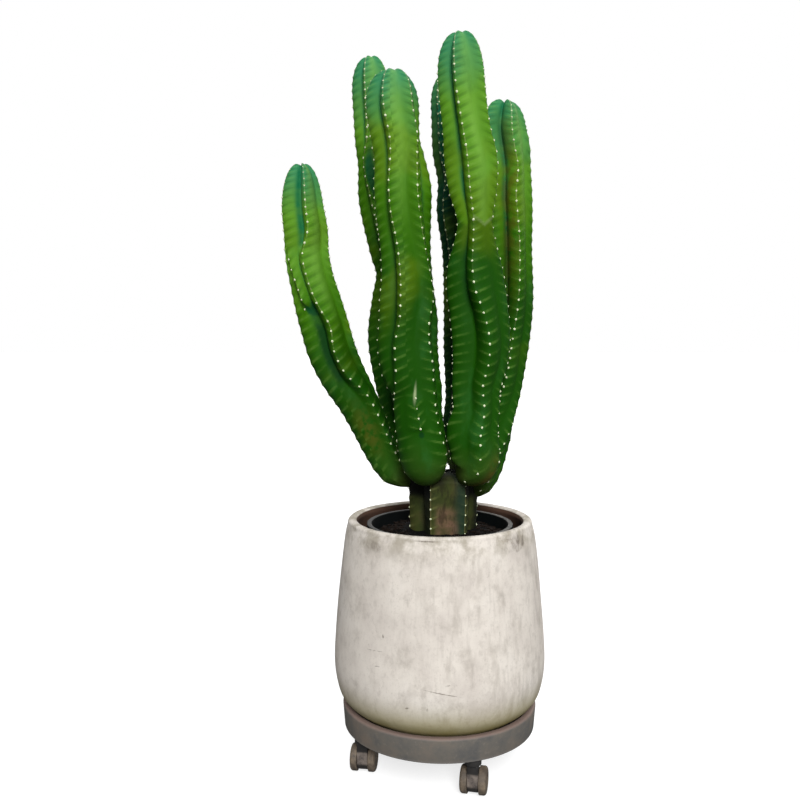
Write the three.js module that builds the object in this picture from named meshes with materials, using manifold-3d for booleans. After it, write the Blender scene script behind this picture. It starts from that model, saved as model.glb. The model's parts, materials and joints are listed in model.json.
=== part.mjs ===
// A tall columnar cactus: six ribbed stems on one short trunk, rooted in a plastic nursery pot
// that stands in a tapered planter, on a round plant caddy with four twin-wheel casters.
//
// Millimetres, +Z up. The front of the plant looks toward -Y, and +X is on its right. Everything
// is laid out from the planter's axis, then moved so that the whole plant's box is centred.

import * as THREE from 'three';
import { mergeVertices } from 'three/addons/utils/BufferGeometryUtils.js';
import Module from 'manifold-3d';

const wasm = await Module();
wasm.setup();

// ---- driving dimensions ---------------------------------------------------------------------

const GAP = 0.3; // left between pieces that touch

const WHEEL_R = 25;
const WHEEL_WIDTH = 14;
const WHEEL_SIDES = 18; // with 18, a flat side of the tread lies on the floor
const WHEEL_BORE_R = 3.4;
const AXLE_R = 3;
const AXLE_HOLE_R = 3.5;
const AXLE_HALF_LENGTH = 18;

const FORK_WIDTH = 20; // the caster's central housing, between its two wheels
const FORK_R = 22;
const FORK_TOP = 60;
const FORK_PIN_DEPTH = 22;
const TRAIL = 13; // from the swivel axis back to the axle
const PIN_R = 5; // the upright steel pin
const PIN_HOLE_R = 5.45;

const CASTER_CIRCLE_R = 158;
const CASTERS = [ // degrees round the caddy from the front, and the turn of each on its pin
  { name: 'front', place: 20, turn: -13 },
  { name: 'right', place: 114, turn: 70 },
  { name: 'back', place: 200, turn: 148 },
  { name: 'left', place: 294, turn: -9 },
];

const CADDY_R = 184;
const CADDY_SKIRT_BOTTOM = 75;
const CADDY_DECK_TOP = 100;
const CADDY_DECK_THICKNESS = 6;
const CADDY_LIP_TOP = 121;
const CADDY_LIP_WIDTH = 14;
const CADDY_WALL = 5;
const SOCKET_R = 15;

const PLANTER_TOP = 471;
const PLANTER_WALL = 18;
const PLANTER_RIM = [[170, -1], [164, 0], [158, -2]]; // [radius, height from its top]
const PLANTER_FLOOR = 20; // thickness
const PLANTER_FLOOR_R = 150; // where the inside of the wall meets the floor
const PLANTER_DRAIN_R = 14;
const PLANTER_OUTSIDE = [ // [radius, height above the caddy's deck]
  [132, 0], [149, 5], [166, 18], [183, 33], [194, 54], [200.5, 98],
  [197.5, 165], [189, 261], [180, 336], [174, 364],
];

const NURSERY_FLOOR_R = 104;
const NURSERY_WALL = 3;
const NURSERY_TOP = 461;
const NURSERY_RIM_R = 138;
const NURSERY_RIM_HEIGHT = 16;
const NURSERY_RIM_WIDTH = 9;
const NURSERY_HOLE_R = 9;
const NURSERY_HOLES = 6;
const NURSERY_HOLE_CIRCLE_R = 75;

const SOIL_TOP = 450; // at the trunk
const SOIL_SLOPE = [[127, 438], [112, 441], [95, 446.5], [78, SOIL_TOP]]; // [radius, height]

const TRUNK_X = 7;
const TRUNK_TOP = 560;
const TRUNK_BOTTOM = 392;
const TRUNK_R = 65;
const TRUNK_RIBS = 6;
const TRUNK_FIRST_RIB = -24;

const AREOLE_PITCH = 18; // along a rib
const AREOLE_RISE = 2.8; // height of the bump that carries an areole and its wool
const NOTCH_DEPTH = 1.2; // of the rib's edge between two areoles
const ROW_STEP = 70; // spacing of the rows of points between a stem's two rounded ends
const TIP_BLUNTNESS = 2.3; // the power of a tip's curve, where 2 gives an ellipse
const SHOULDER = 0.28; // how far from a rib's edge to the valley its shoulder lies
const SHOULDER_DEPTH = 0.16; // as a share of the valley's
const OPEN_DEPTH = 0.4; // of a stem's open valley, as a share of the others'
const SHORT_RIB_HEIGHT = 0.95; // of its neighbours'
const SHORT_VALLEY_DEPTH = 0.6; // of the two valleys beside a short rib

// Each stem's rows run from its foot to its tip. A row is a height, the middle of the stem
// there, the radius of the rib crests, the radius of the valleys as a share of it, and the
// direction of each rib, in degrees from the front and positive toward the right. A valley lies
// closer to the rib on its right: valleyPlace is how far across it lies. The valley after the rib
// openAfter is a broad, shallow one.
const STEMS = {
  stem_left: {
    foot: 26, tip: 110, firstRow: 537, lastRow: 1131, valleyPlace: 0.8, openAfter: 1,
    rows: [
      [537, -36, 2, 22, 0.85, -64, 48, 120, 192, 232],
      [549, -68, 2, 27, 0.81, -66, 48, 120, 192, 234],
      [565, -90, 1, 30, 0.78, -68, 48, 120, 190, 236],
      [603, -113, 0, 32, 0.73, -72, 47, 118, 176, 232],
      [648, -133, 0, 35, 0.74, -76, 43, 106, 164, 224],
      [693, -155, 0, 38, 0.68, -78, 37, 94, 154, 218],
      [739, -181, 0, 43, 0.54, -78, 12, 80, 146, 214],
      [784, -201, 0, 46, 0.47, -77, 8, 76, 144, 213],
      [828, -214, 0, 46, 0.47, -79, 15, 78, 143, 212],
      [873, -226, 0, 45, 0.47, -84, 0, 74, 140, 207],
      [917, -237, 0, 43, 0.46, -88, -8, 68, 136, 204],
      [961, -245, 0, 43, 0.44, -74, -9, 66, 138, 212],
      [1005, -249, 0, 43, 0.44, -66, 10, 74, 146, 220],
      [1050, -255, 0, 41, 0.44, -64, 13, 78, 150, 222],
      [1131, -257, 0, 41, 0.44, -62, 14, 80, 152, 224],
    ],
    shortRib: {
      after: 0, lowEnd: 24, highEnd: 30, step: 14,
      rows: [[862, -34], [900, -40], [940, -52], [985, -64]],
    },
  },
  stem_back_left: {
    foot: 40, tip: 80, firstRow: 543, lastRow: 1348, valleyPlace: 0.6, openAfter: 1,
    rows: [
      [543, -24, 36, 26, 0.78, -92, -18, 54, 126, 198],
      [560, -36, 54, 32, 0.76, -92, -18, 54, 126, 198],
      [600, -54, 76, 39, 0.68, -90, -18, 54, 126, 198],
      [648, -63, 84, 42, 0.6, -88, -16, 56, 128, 200],
      [726, -79, 86, 46, 0.52, -84, -14, 58, 130, 202],
      [809, -89, 86, 49, 0.47, -84, -16, 56, 128, 202],
      [883, -85, 86, 45, 0.47, -86, -18, 54, 126, 200],
      [937, -85, 86, 37, 0.52, -88, -20, 52, 124, 198],
      [980, -95, 86, 39, 0.5, -86, -20, 52, 124, 198],
      [1076, -112, 86, 43, 0.46, -90, -26, 50, 124, 196],
      [1145, -117, 86, 40, 0.47, -98, -44, 44, 122, 192],
      [1190, -121, 86, 41, 0.46, -90, -24, 50, 124, 196],
      [1265, -126.5, 86, 40, 0.44, -90, -20, 52, 124, 196],
      [1348, -133, 86, 40, 0.44, -90, -20, 52, 124, 196],
    ],
  },
  stem_front_left: {
    foot: 46, tip: 68, firstRow: 549, lastRow: 1278, valleyPlace: 0.6, openAfter: 0,
    rows: [
      [549, -15, -40, 36, 0.86, -88, 56, 112, 160, 200, 236],
      [575, -27, -65, 42, 0.83, -88, 58, 112, 160, 200, 236],
      [605, -32, -74, 45, 0.81, -86, 58, 112, 160, 200, 236],
      [640, -37, -75, 45, 0.78, -82, 46, 108, 158, 198, 236],
      [681, -43, -75, 45, 0.73, -72, 44, 104, 156, 198, 238],
      [714, -45, -75, 47, 0.65, -60, 39, 102, 158, 204, 246],
      [750, -54, -75, 53, 0.6, -33, 45, 106, 162, 216, 264],
      [798, -60, -75, 55, 0.55, -26, 41, 106, 164, 220, 274],
      [840, -59, -75, 54, 0.52, -18, 40, 106, 166, 222, 280],
      [880, -60, -75, 52, 0.52, -16, 56, 112, 168, 224, 282],
      [913, -61, -75, 48, 0.55, -16, 57, 112, 168, 224, 282],
      [966, -64, -75, 46, 0.55, -19, 45, 108, 168, 222, 278],
      [1029, -68, -75, 49.5, 0.52, -28, 32, 102, 164, 218, 272],
      [1075, -70, -75, 51, 0.52, -29, 29, 100, 164, 218, 272],
      [1122, -75, -75, 46, 0.55, -22, 40, 106, 166, 222, 278],
      [1153, -81, -75, 45, 0.55, -15, 54, 112, 170, 226, 284],
      [1210, -87, -75, 48, 0.52, -20, 43, 108, 168, 224, 280],
      [1278, -88, -75, 48, 0.52, -24, 42, 108, 168, 224, 280],
    ],
    shortRib: { after: 0, lowEnd: 8, highEnd: 30, step: 9, rows: [[646, 0], [724, -6]] },
  },
  stem_front: {
    foot: 44, tip: 90, firstRow: 549, lastRow: 1344, valleyPlace: 0.6, openAfter: 1,
    rows: [
      [549, 35, -40, 36, 0.83, -84, 0, 78, 150, 214],
      [575, 58, -62, 42, 0.81, -86, 4, 78, 150, 214],
      [605, 60, -70, 44.5, 0.76, -86, 8, 76, 150, 212],
      [641, 55, -70, 47.5, 0.7, -80, 14, 73, 148, 214],
      [681, 61, -70, 43.5, 0.65, -73, 16, 70, 148, 218],
      [726, 62, -70, 45, 0.6, -80, 10, 72, 146, 214],
      [771, 68, -70, 49.5, 0.52, -84, 14, 84, 152, 212],
      [816, 69, -70, 52.5, 0.47, -82, 11, 86, 154, 214],
      [860, 65, -70, 52.5, 0.46, -85, 3, 83, 152, 212],
      [896, 60, -70, 52.5, 0.47, -87, -6, 84, 150, 210],
      [940, 57, -70, 48, 0.52, -82, -9, 82, 148, 212],
      [975, 57, -70, 39, 0.6, -76, -8, 76, 146, 214],
      [1015, 57, -70, 33, 0.7, -72, -8, 69, 144, 214],
      [1071, 54, -70, 43.5, 0.55, -84, -12, 70, 142, 208],
      [1123, 50, -70, 47.5, 0.47, -88, -12, 70, 140, 206],
      [1175, 44, -70, 45, 0.44, -82, -16, 54, 130, 204],
      [1240, 37, -70, 45.5, 0.43, -80, -21, 49, 122, 202],
      [1344, 29.5, -70, 45.5, 0.43, -80, -24, 48, 120, 202],
    ],
  },
  stem_back: {
    foot: 40, tip: 70, firstRow: 541, lastRow: 1322, valleyPlace: 0.6, openAfter: 1,
    rows: [
      [541, 26, 26, 26, 0.78, -42, 30, 102, 174, 246],
      [560, 44, 56, 31, 0.76, -42, 30, 102, 174, 246],
      [600, 46, 84, 37, 0.68, -42, 30, 102, 174, 246],
      [640, 48, 92, 40, 0.63, -42, 30, 102, 174, 246],
      [690, 54, 96, 41, 0.57, -40, 32, 104, 176, 248],
      [785, 55, 97, 45, 0.48, -36, 36, 108, 180, 252],
      [883, 52, 95, 43, 0.47, -38, 34, 106, 178, 250],
      [980, 46, 92, 41, 0.5, -42, 30, 102, 174, 246],
      [1057, 39, 91, 46, 0.46, -44, 28, 100, 172, 244],
      [1115, 37, 90, 41, 0.5, -40, 32, 104, 176, 248],
      [1172, 31, 90, 46, 0.46, -42, 30, 102, 174, 246],
      [1250, 25, 90, 43, 0.44, -42, 30, 102, 174, 246],
      [1322, 20, 90, 43, 0.44, -42, 30, 102, 174, 246],
    ],
  },
  stem_right: {
    foot: 30, tip: 66, firstRow: 512, lastRow: 1252, valleyPlace: 0.6, openAfter: 0,
    rows: [
      [512, 56, 6, 24, 0.85, -52, 22, 94, 166, 238],
      [530, 70, 10, 29, 0.83, -52, 22, 94, 166, 238],
      [560, 84, 14, 34, 0.78, -49, 25, 95, 166, 238],
      [600, 94, 17, 37, 0.74, -44, 31, 99, 168, 239],
      [640, 102, 19, 41, 0.68, -30, 45, 114, 184, 254],
      [672, 105, 20, 42, 0.6, -10, 64, 136, 206, 276],
      [729, 114, 24, 44, 0.52, 8, 82, 152, 224, 296],
      [806, 125, 28, 45.5, 0.47, 10, 82, 154, 226, 298],
      [881, 130, 30, 47, 0.46, 17, 86, 158, 230, 302],
      [975, 127, 30, 47, 0.46, 23, 90, 162, 234, 306],
      [1034, 127, 30, 47, 0.46, 17, 87, 159, 231, 303],
      [1072, 126, 30, 47, 0.46, 14, 84, 156, 228, 300],
      [1122, 123, 30, 47, 0.46, 22, 88, 160, 232, 304],
      [1160, 121, 30, 47, 0.46, 15, 85, 157, 229, 301],
      [1200, 115, 30, 46, 0.46, 17, 87, 159, 231, 303],
      [1252, 120, 30, 46, 0.46, 18, 88, 160, 232, 304],
    ],
  },
};

const TRUNK = {
  foot: 60, tip: 17, firstRow: TRUNK_BOTTOM, lastRow: TRUNK_TOP, valleyPlace: 0.5, openAfter: 0,
  rows: [
    [TRUNK_BOTTOM, TRUNK_X, 0, TRUNK_R - 6, 0.62, ...ribsAround(TRUNK_RIBS, TRUNK_FIRST_RIB)],
    [SOIL_TOP, TRUNK_X, 0, TRUNK_R - 2, 0.62, ...ribsAround(TRUNK_RIBS, TRUNK_FIRST_RIB)],
    [505, TRUNK_X, 0, TRUNK_R, 0.64, ...ribsAround(TRUNK_RIBS, TRUNK_FIRST_RIB)],
    [TRUNK_TOP, TRUNK_X, 0, TRUNK_R, 0.74, ...ribsAround(TRUNK_RIBS, TRUNK_FIRST_RIB)],
  ],
};

// ---- materials ------------------------------------------------------------------------------

const material = (color, roughness, metalness = 0) =>
  new THREE.MeshStandardMaterial({ color, roughness, metalness });

const FIBRE_CEMENT = material(0xcfc6ba, 0.9);
const BLACK_PLASTIC = material(0x1b2324, 0.55);
const POTTING_SOIL = material(0x231a14, 1.0);
const TRUNK_SKIN = material(0x5b6138, 0.7);
const STEM_SKIN = material(0x3f7a2c, 0.5);
const SHADED_STEM_SKIN = material(0x2a5f3a, 0.5);
const CADDY_PLASTIC = material(0x6d6761, 0.75);
const WHEEL_PLASTIC = material(0x8f8272, 0.7);
const FORK_PLASTIC = material(0x4b4a50, 0.6);
const STEEL = material(0xa6a6a6, 0.35, 1);

// ---- shared geometry ------------------------------------------------------------------------

const radians = THREE.MathUtils.degToRad;

function ribsAround(count, first) {
  return Array.from({ length: count }, (_, i) => first + (360 / count) * i);
}

function mesh(name, geometry, skin) {
  const piece = new THREE.Mesh(geometry, skin);
  piece.name = name;
  return piece;
}

// A solid of revolution about Z. The profile is a list of [radius, height], taken upward on the
// outside, and closes on the axis or, with ring set, on its own first point.
function turned(profile, sides, { ring = false } = {}) {
  const points = profile.map(([r, z]) => new THREE.Vector2(r, z));
  if (ring) points.push(points[0].clone());
  return new THREE.LatheGeometry(points, sides).rotateX(Math.PI / 2);
}

function solidOf(geometry) {
  const bare = geometry.clone();
  for (const name of ['normal', 'uv']) bare.deleteAttribute(name);
  const whole = mergeVertices(bare, 1e-4);
  return new wasm.Manifold(new wasm.Mesh({
    numProp: 3,
    vertProperties: new Float32Array(whole.attributes.position.array),
    triVerts: new Uint32Array(whole.index.array),
  }));
}

function geometryOf(solid) {
  const { vertProperties, triVerts } = solid.getMesh();
  const geometry = new THREE.BufferGeometry();
  geometry.setAttribute('position', new THREE.BufferAttribute(vertProperties, 3));
  geometry.setIndex(new THREE.BufferAttribute(triVerts, 1));
  return geometry;
}

function cut(geometry, ...tools) {
  return geometryOf(tools.reduce((solid, tool) => solid.subtract(solidOf(tool)), solidOf(geometry)));
}

function joined(...parts) {
  return geometryOf(parts.map(solidOf).reduce((all, part) => all.add(part)));
}

// A smooth curve through rows of [height, values...], read at any height.
function smoothRows(rows) {
  const slope = (i, column) => {
    const before = rows[Math.max(i - 1, 0)];
    const after = rows[Math.min(i + 1, rows.length - 1)];
    return (after[column] - before[column]) / (after[0] - before[0]);
  };
  return (height) => {
    let i = 0;
    while (i < rows.length - 2 && height > rows[i + 1][0]) i += 1;
    const [low, high] = [rows[i], rows[i + 1]];
    const span = high[0] - low[0];
    const t = THREE.MathUtils.clamp((height - low[0]) / span, 0, 1);
    const rise = t * t * (3 - 2 * t);
    const leave = t * (1 - t) * (1 - t) * span;
    const arrive = t * t * (t - 1) * span;
    return low.slice(1).map((value, n) => value + rise * (high[n + 1] - value)
      + leave * slope(i, n + 1) + arrive * slope(i + 1, n + 1));
  };
}

// ---- the cactus -----------------------------------------------------------------------------

// Where a stem's surface is: place(height, direction, radius share, extra radius).
function stemSurface(stem, grown = 0) {
  const { foot, tip, rows } = stem;
  const [bottom, top] = [stem.firstRow, stem.lastRow];
  const at = smoothRows(rows);
  const middle = (height) => new THREE.Vector3(...at(height).slice(0, 2), height);
  const roundedEnds = (height) => {
    const above = THREE.MathUtils.clamp((height - (top - tip)) / tip, 0, 1);
    const below = THREE.MathUtils.clamp((bottom + foot - height) / foot, 0, 1);
    return (1 - above ** TIP_BLUNTNESS) ** (1 / TIP_BLUNTNESS) * Math.sqrt(1 - below ** 2);
  };
  const place = (height, direction, share, extra = 0) => {
    const low = THREE.MathUtils.clamp(height - 4, bottom, top - 8);
    const along = middle(low + 8).sub(middle(low)).normalize();
    const front = new THREE.Vector3(0, -1, 0).projectOnPlane(along).normalize();
    const side = new THREE.Vector3().crossVectors(along, front);
    const round = roundedEnds(height);
    const radius = (at(height)[2] * share + extra * Math.min(1, 2 * round)) * round + grown * round;
    const end = grown * (1 - round) * (height > (bottom + top) / 2 ? 1 : -1);
    return middle(height)
      .addScaledVector(front, radius * Math.cos(radians(direction)))
      .addScaledVector(side, radius * Math.sin(radians(direction)))
      .addScaledVector(along, end);
  };
  return { at, place };
}

// Heights of the rows of points: close together on the two rounded ends, evenly spaced between.
function rowHeights({ foot, tip, firstRow, lastRow }) {
  const heights = [];
  for (const angle of [68, 45, 22]) heights.push(firstRow + foot * (1 - Math.sin(radians(angle))));
  const [low, high] = [firstRow + foot, lastRow - tip];
  const steps = Math.max(1, Math.round((high - low) / ROW_STEP));
  for (let i = 0; i <= steps; i += 1) heights.push(low + ((high - low) * i) / steps);
  for (const angle of [24, 44, 61, 76]) heights.push(lastRow - tip * (1 - Math.sin(radians(angle))));
  return heights;
}

// A rib's edge has a point on each areole bump and one in each notch between two bumps.
function crestHeights({ foot, tip, firstRow, lastRow }, rib) {
  const heights = [];
  const first = firstRow + foot * 0.25 + (rib % 3) * (AREOLE_PITCH / 3);
  const last = lastRow - tip * 0.02;
  for (let i = 0; first + (i * AREOLE_PITCH) / 2 < last; i += 1) {
    heights.push([first + (i * AREOLE_PITCH) / 2, i % 2 ? -NOTCH_DEPTH : AREOLE_RISE]);
  }
  return heights;
}

// Joins two columns of points that share their two ends, whatever their numbers of points.
function strip(left, right, triangles) {
  let [i, j] = [0, 0];
  while (i < left.length - 1 || j < right.length - 1) {
    const [a, b] = [left[i].index, right[j].index];
    const rightIsDone = j === right.length - 1;
    if (i < left.length - 1 && (rightIsDone || left[i + 1].height <= right[j + 1].height)) {
      i += 1;
      if (left[i].index !== b) triangles.push(a, b, left[i].index);
    } else {
      j += 1;
      if (right[j].index !== a) triangles.push(a, b, right[j].index);
    }
  }
}

// How far a short rib stands out of its valley: 0 beyond its two ends and 1 between them.
function standsOut({ rows, lowEnd, highEnd }, height) {
  const [low, high] = [rows[0][0], rows[rows.length - 1][0]];
  return THREE.MathUtils.clamp(Math.min((height - low) / lowEnd, (high - height) / highEnd), 0, 1);
}

// A ribbed stem: for each rib a column of points on its crest, one on each shoulder beside the
// crest, and one in the valley between it and the next rib. A valley that holds a short rib has
// three columns, the middle one on the short rib.
function ribbedStem(stem, grown = 0) {
  const { at, place } = stemSurface(stem, grown);
  const { firstRow: bottom, lastRow: top, valleyPlace } = stem;
  const points = [];
  const addPoint = (point) => points.push(point) - 1;
  const foot = { height: -Infinity, index: addPoint(place(bottom, 0, 0)) };
  const apex = { height: Infinity, index: addPoint(place(top, 0, 0)) };
  const column = (samples) => [
    foot,
    ...samples.map(([height, ...where]) => ({ height, index: addPoint(place(height, ...where)) })),
    apex,
  ];
  const rows = rowHeights(stem);
  const ribCount = stem.rows[0].length - 5;
  const ribAt = (height, rib) => at(height)[4 + (rib % ribCount)] + 360 * Math.floor(rib / ribCount);
  const columns = [];
  for (let rib = 0; rib < ribCount; rib += 1) {
    const between = (height, u) => {
      const here = ribAt(height, rib);
      return here + u * (ribAt(height, rib + 1) - here);
    };
    const depthAt = (height) => (1 - at(height)[3]) * (stem.openAfter === rib ? OPEN_DEPTH : 1);
    const beside = (u, depth = 1) => (
      column(rows.map((height) => [height, between(height, u), 1 - depth * depthAt(height)])));
    const crest = crestHeights(stem, rib).map(([height, rise]) => [height, ribAt(height, rib), 1, rise]);
    columns.push(column(crest), beside(SHOULDER * valleyPlace, SHOULDER_DEPTH));
    if (stem.shortRib?.after === rib) {
      columns.push(...shortRibColumns(stem.shortRib, between, depthAt).map(column));
    } else columns.push(beside(valleyPlace));
    columns.push(beside(1 - SHOULDER * (1 - valleyPlace), SHOULDER_DEPTH));
  }

  function shortRibColumns(shortRib, between, depthAt) {
    const direction = smoothRows(shortRib.rows);
    const [low, high] = [shortRib.rows[0][0], shortRib.rows.at(-1)[0]];
    const heights = [...rows];
    for (let height = low; height <= high; height += shortRib.step) heights.push(height);
    heights.sort((a, b) => a - b);
    const sample = (height, part) => {
      const out = standsOut(shortRib, height);
      const ridge = direction(THREE.MathUtils.clamp(height, low, high))[0];
      const [here, next] = [between(height, 0), between(height, 1)];
      const raised = { left: (here + ridge) / 2, ridge, right: (next + ridge) / 2 }[part];
      const resting = between(height, valleyPlace + { left: -0.15, ridge: 0, right: 0.15 }[part]);
      const filled = part === 'ridge' ? SHORT_RIB_HEIGHT : 1 - SHORT_VALLEY_DEPTH;
      return [height, resting + out * (raised - resting), 1 - depthAt(height) * (1 - out * filled)];
    };
    return ['left', 'ridge', 'right'].map((part) => heights.map((height) => sample(height, part)));
  }

  const triangles = [];
  columns.forEach((left, i) => strip(left, columns[(i + 1) % columns.length], triangles));
  const geometry = new THREE.BufferGeometry().setFromPoints(points);
  geometry.setIndex(triangles);
  return geometry;
}

function cactus() {
  const plant = new THREE.Group();
  const trunk = ribbedStem(TRUNK);
  const clearOfTrunk = ribbedStem(TRUNK, GAP + 0.1);
  plant.add(mesh('trunk', trunk, TRUNK_SKIN));
  for (const [name, stem] of Object.entries(STEMS)) {
    const skin = name.startsWith('stem_back') ? SHADED_STEM_SKIN : STEM_SKIN;
    plant.add(mesh(name, cut(ribbedStem(stem), clearOfTrunk), skin));
  }
  return plant;
}

// ---- the pots -------------------------------------------------------------------------------

function planter() {
  const foot = CADDY_DECK_TOP + GAP;
  const outside = PLANTER_OUTSIDE.map(([r, z]) => [r, foot + z]);
  const rim = PLANTER_RIM.map(([r, z]) => [r, PLANTER_TOP + z]);
  const inside = PLANTER_OUTSIDE.slice(4, -1).reverse()
    .map(([r, z]) => [r - PLANTER_WALL, foot + z]);
  const floor = [[PLANTER_FLOOR_R, foot + PLANTER_FLOOR], [PLANTER_DRAIN_R, foot + PLANTER_FLOOR]];
  const profile = [[PLANTER_DRAIN_R, foot], ...outside, ...rim, ...inside, ...floor];
  return mesh('planter', turned(profile, 48, { ring: true }), FIBRE_CEMENT);
}

const NURSERY_BOTTOM = CADDY_DECK_TOP + PLANTER_FLOOR + 2 * GAP;
const NURSERY_INNER_TOP_R = NURSERY_RIM_R - NURSERY_RIM_WIDTH;

function nurseryPot() {
  const shoulder = NURSERY_TOP - NURSERY_RIM_HEIGHT;
  const body = turned([
    [0, NURSERY_BOTTOM],
    [NURSERY_FLOOR_R, NURSERY_BOTTOM],
    [NURSERY_INNER_TOP_R + NURSERY_WALL, shoulder],
    [NURSERY_RIM_R, shoulder],
    [NURSERY_RIM_R, NURSERY_TOP - 2],
    [NURSERY_RIM_R - 2, NURSERY_TOP],
    [NURSERY_INNER_TOP_R, NURSERY_TOP],
    [NURSERY_INNER_TOP_R, shoulder],
    [NURSERY_FLOOR_R - NURSERY_WALL, NURSERY_BOTTOM + NURSERY_WALL],
    [0, NURSERY_BOTTOM + NURSERY_WALL],
  ], 40);
  const holes = ribsAround(NURSERY_HOLES, 0).map((angle) => (
    new THREE.CylinderGeometry(NURSERY_HOLE_R, NURSERY_HOLE_R, 20, 8)
      .rotateX(Math.PI / 2)
      .translate(NURSERY_HOLE_CIRCLE_R, 0, NURSERY_BOTTOM)
      .rotateZ(radians(angle))
  ));
  return mesh('nursery_pot', cut(body, ...holes), BLACK_PLASTIC);
}

// Level round the trunk, and falling to the wall of the nursery pot.
function soil() {
  const low = NURSERY_BOTTOM + NURSERY_WALL + GAP;
  const filling = turned([
    [0, low],
    [NURSERY_FLOOR_R - NURSERY_WALL - 2 * GAP, low],
    ...SOIL_SLOPE,
    [0, SOIL_TOP],
  ], 32);
  return mesh('soil', cut(filling, ribbedStem(TRUNK, GAP + 0.1)), POTTING_SOIL);
}

// ---- the caddy and its casters --------------------------------------------------------------

const onCaddy = (place) => new THREE.Vector3(
  CASTER_CIRCLE_R * Math.sin(radians(place)),
  -CASTER_CIRCLE_R * Math.cos(radians(place)),
  0,
);

function plantCaddy() {
  const under = CADDY_DECK_TOP - CADDY_DECK_THICKNESS;
  const lipInside = CADDY_R - CADDY_LIP_WIDTH;
  const tray = turned([
    [0, under],
    [CADDY_R - 4 - CADDY_WALL, under],
    [CADDY_R - 4 - CADDY_WALL, CADDY_SKIRT_BOTTOM],
    [CADDY_R - 6, CADDY_SKIRT_BOTTOM],
    [CADDY_R - 3, CADDY_SKIRT_BOTTOM + 3],
    [CADDY_R, CADDY_LIP_TOP - 5],
    [CADDY_R - 4, CADDY_LIP_TOP],
    [lipInside + 2, CADDY_LIP_TOP],
    [lipInside - 1, CADDY_LIP_TOP - 4],
    [lipInside - 2, CADDY_DECK_TOP],
    [0, CADDY_DECK_TOP],
  ], 48);
  const socketBottom = FORK_TOP + 2 * GAP;
  const sockets = CASTERS.map(({ place }) => {
    const height = under + 1 - socketBottom;
    return new THREE.CylinderGeometry(SOCKET_R, SOCKET_R, height, 16)
      .rotateX(Math.PI / 2)
      .translate(...onCaddy(place).setZ(socketBottom + height / 2).toArray());
  });
  const holes = CASTERS.map(({ place }) => (
    new THREE.CylinderGeometry(PIN_HOLE_R, PIN_HOLE_R, 2 * (under - 2 - socketBottom), 16)
      .rotateX(Math.PI / 2)
      .translate(...onCaddy(place).setZ(socketBottom).toArray())
  ));
  return mesh('plant_caddy', cut(joined(tray, ...sockets), ...holes), CADDY_PLASTIC);
}

// A wheel's axis is along X, with its domed cover toward +X and its bore open at x = 0.
function wheelGeometry() {
  const corner = WHEEL_R / Math.cos(Math.PI / WHEEL_SIDES);
  const profile = [
    [0, AXLE_HALF_LENGTH - FORK_WIDTH / 2],
    [WHEEL_BORE_R, AXLE_HALF_LENGTH - FORK_WIDTH / 2],
    [WHEEL_BORE_R, GAP],
    [corner, GAP],
    [corner, WHEEL_WIDTH * 0.62],
    [corner - 2.5, WHEEL_WIDTH * 0.85],
    [corner - 8, WHEEL_WIDTH],
    [0, WHEEL_WIDTH],
  ];
  return turned(profile, WHEEL_SIDES).rotateY(Math.PI / 2);
}

// The housing between the wheels: a disc round the axle that stops short of the floor, with a
// square neck up to the pin. The swivel axis is at the origin, and the axle behind it, at y = TRAIL.
function forkGeometry() {
  const neck = FORK_R - TRAIL;
  const neckBack = Math.acos((TRAIL - neck) / FORK_R);
  const shape = new THREE.Shape();
  shape.absarc(-TRAIL, WHEEL_R, FORK_R, radians(-46), 0, false);
  shape.lineTo(neck, FORK_TOP);
  shape.lineTo(-neck, FORK_TOP);
  shape.absarc(-TRAIL, WHEEL_R, FORK_R, neckBack, radians(172), false);
  shape.lineTo(-TRAIL - 9, WHEEL_R - 9);
  shape.closePath();
  const settings = { depth: FORK_WIDTH, bevelEnabled: false, curveSegments: 12 };
  const body = new THREE.ExtrudeGeometry(shape, settings)
    .translate(0, 0, -FORK_WIDTH / 2)
    .applyMatrix4(new THREE.Matrix4().makeBasis(
      new THREE.Vector3(0, -1, 0),
      new THREE.Vector3(0, 0, 1),
      new THREE.Vector3(-1, 0, 0),
    ));
  const pinHole = new THREE.CylinderGeometry(PIN_HOLE_R, PIN_HOLE_R, 2 * FORK_PIN_DEPTH, 16)
    .rotateX(Math.PI / 2)
    .translate(0, 0, FORK_TOP);
  const axleHole = new THREE.CylinderGeometry(AXLE_HOLE_R, AXLE_HOLE_R, FORK_WIDTH * 2, 12)
    .rotateZ(Math.PI / 2)
    .translate(0, TRAIL, WHEEL_R);
  return cut(body, pinHole, axleHole);
}

function pinGeometry() {
  const bottom = FORK_TOP - FORK_PIN_DEPTH + GAP;
  const top = CADDY_DECK_TOP - CADDY_DECK_THICKNESS - 2 - GAP;
  return new THREE.CylinderGeometry(PIN_R, PIN_R, top - bottom, 16)
    .rotateX(Math.PI / 2)
    .translate(0, 0, (top + bottom) / 2);
}

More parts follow.
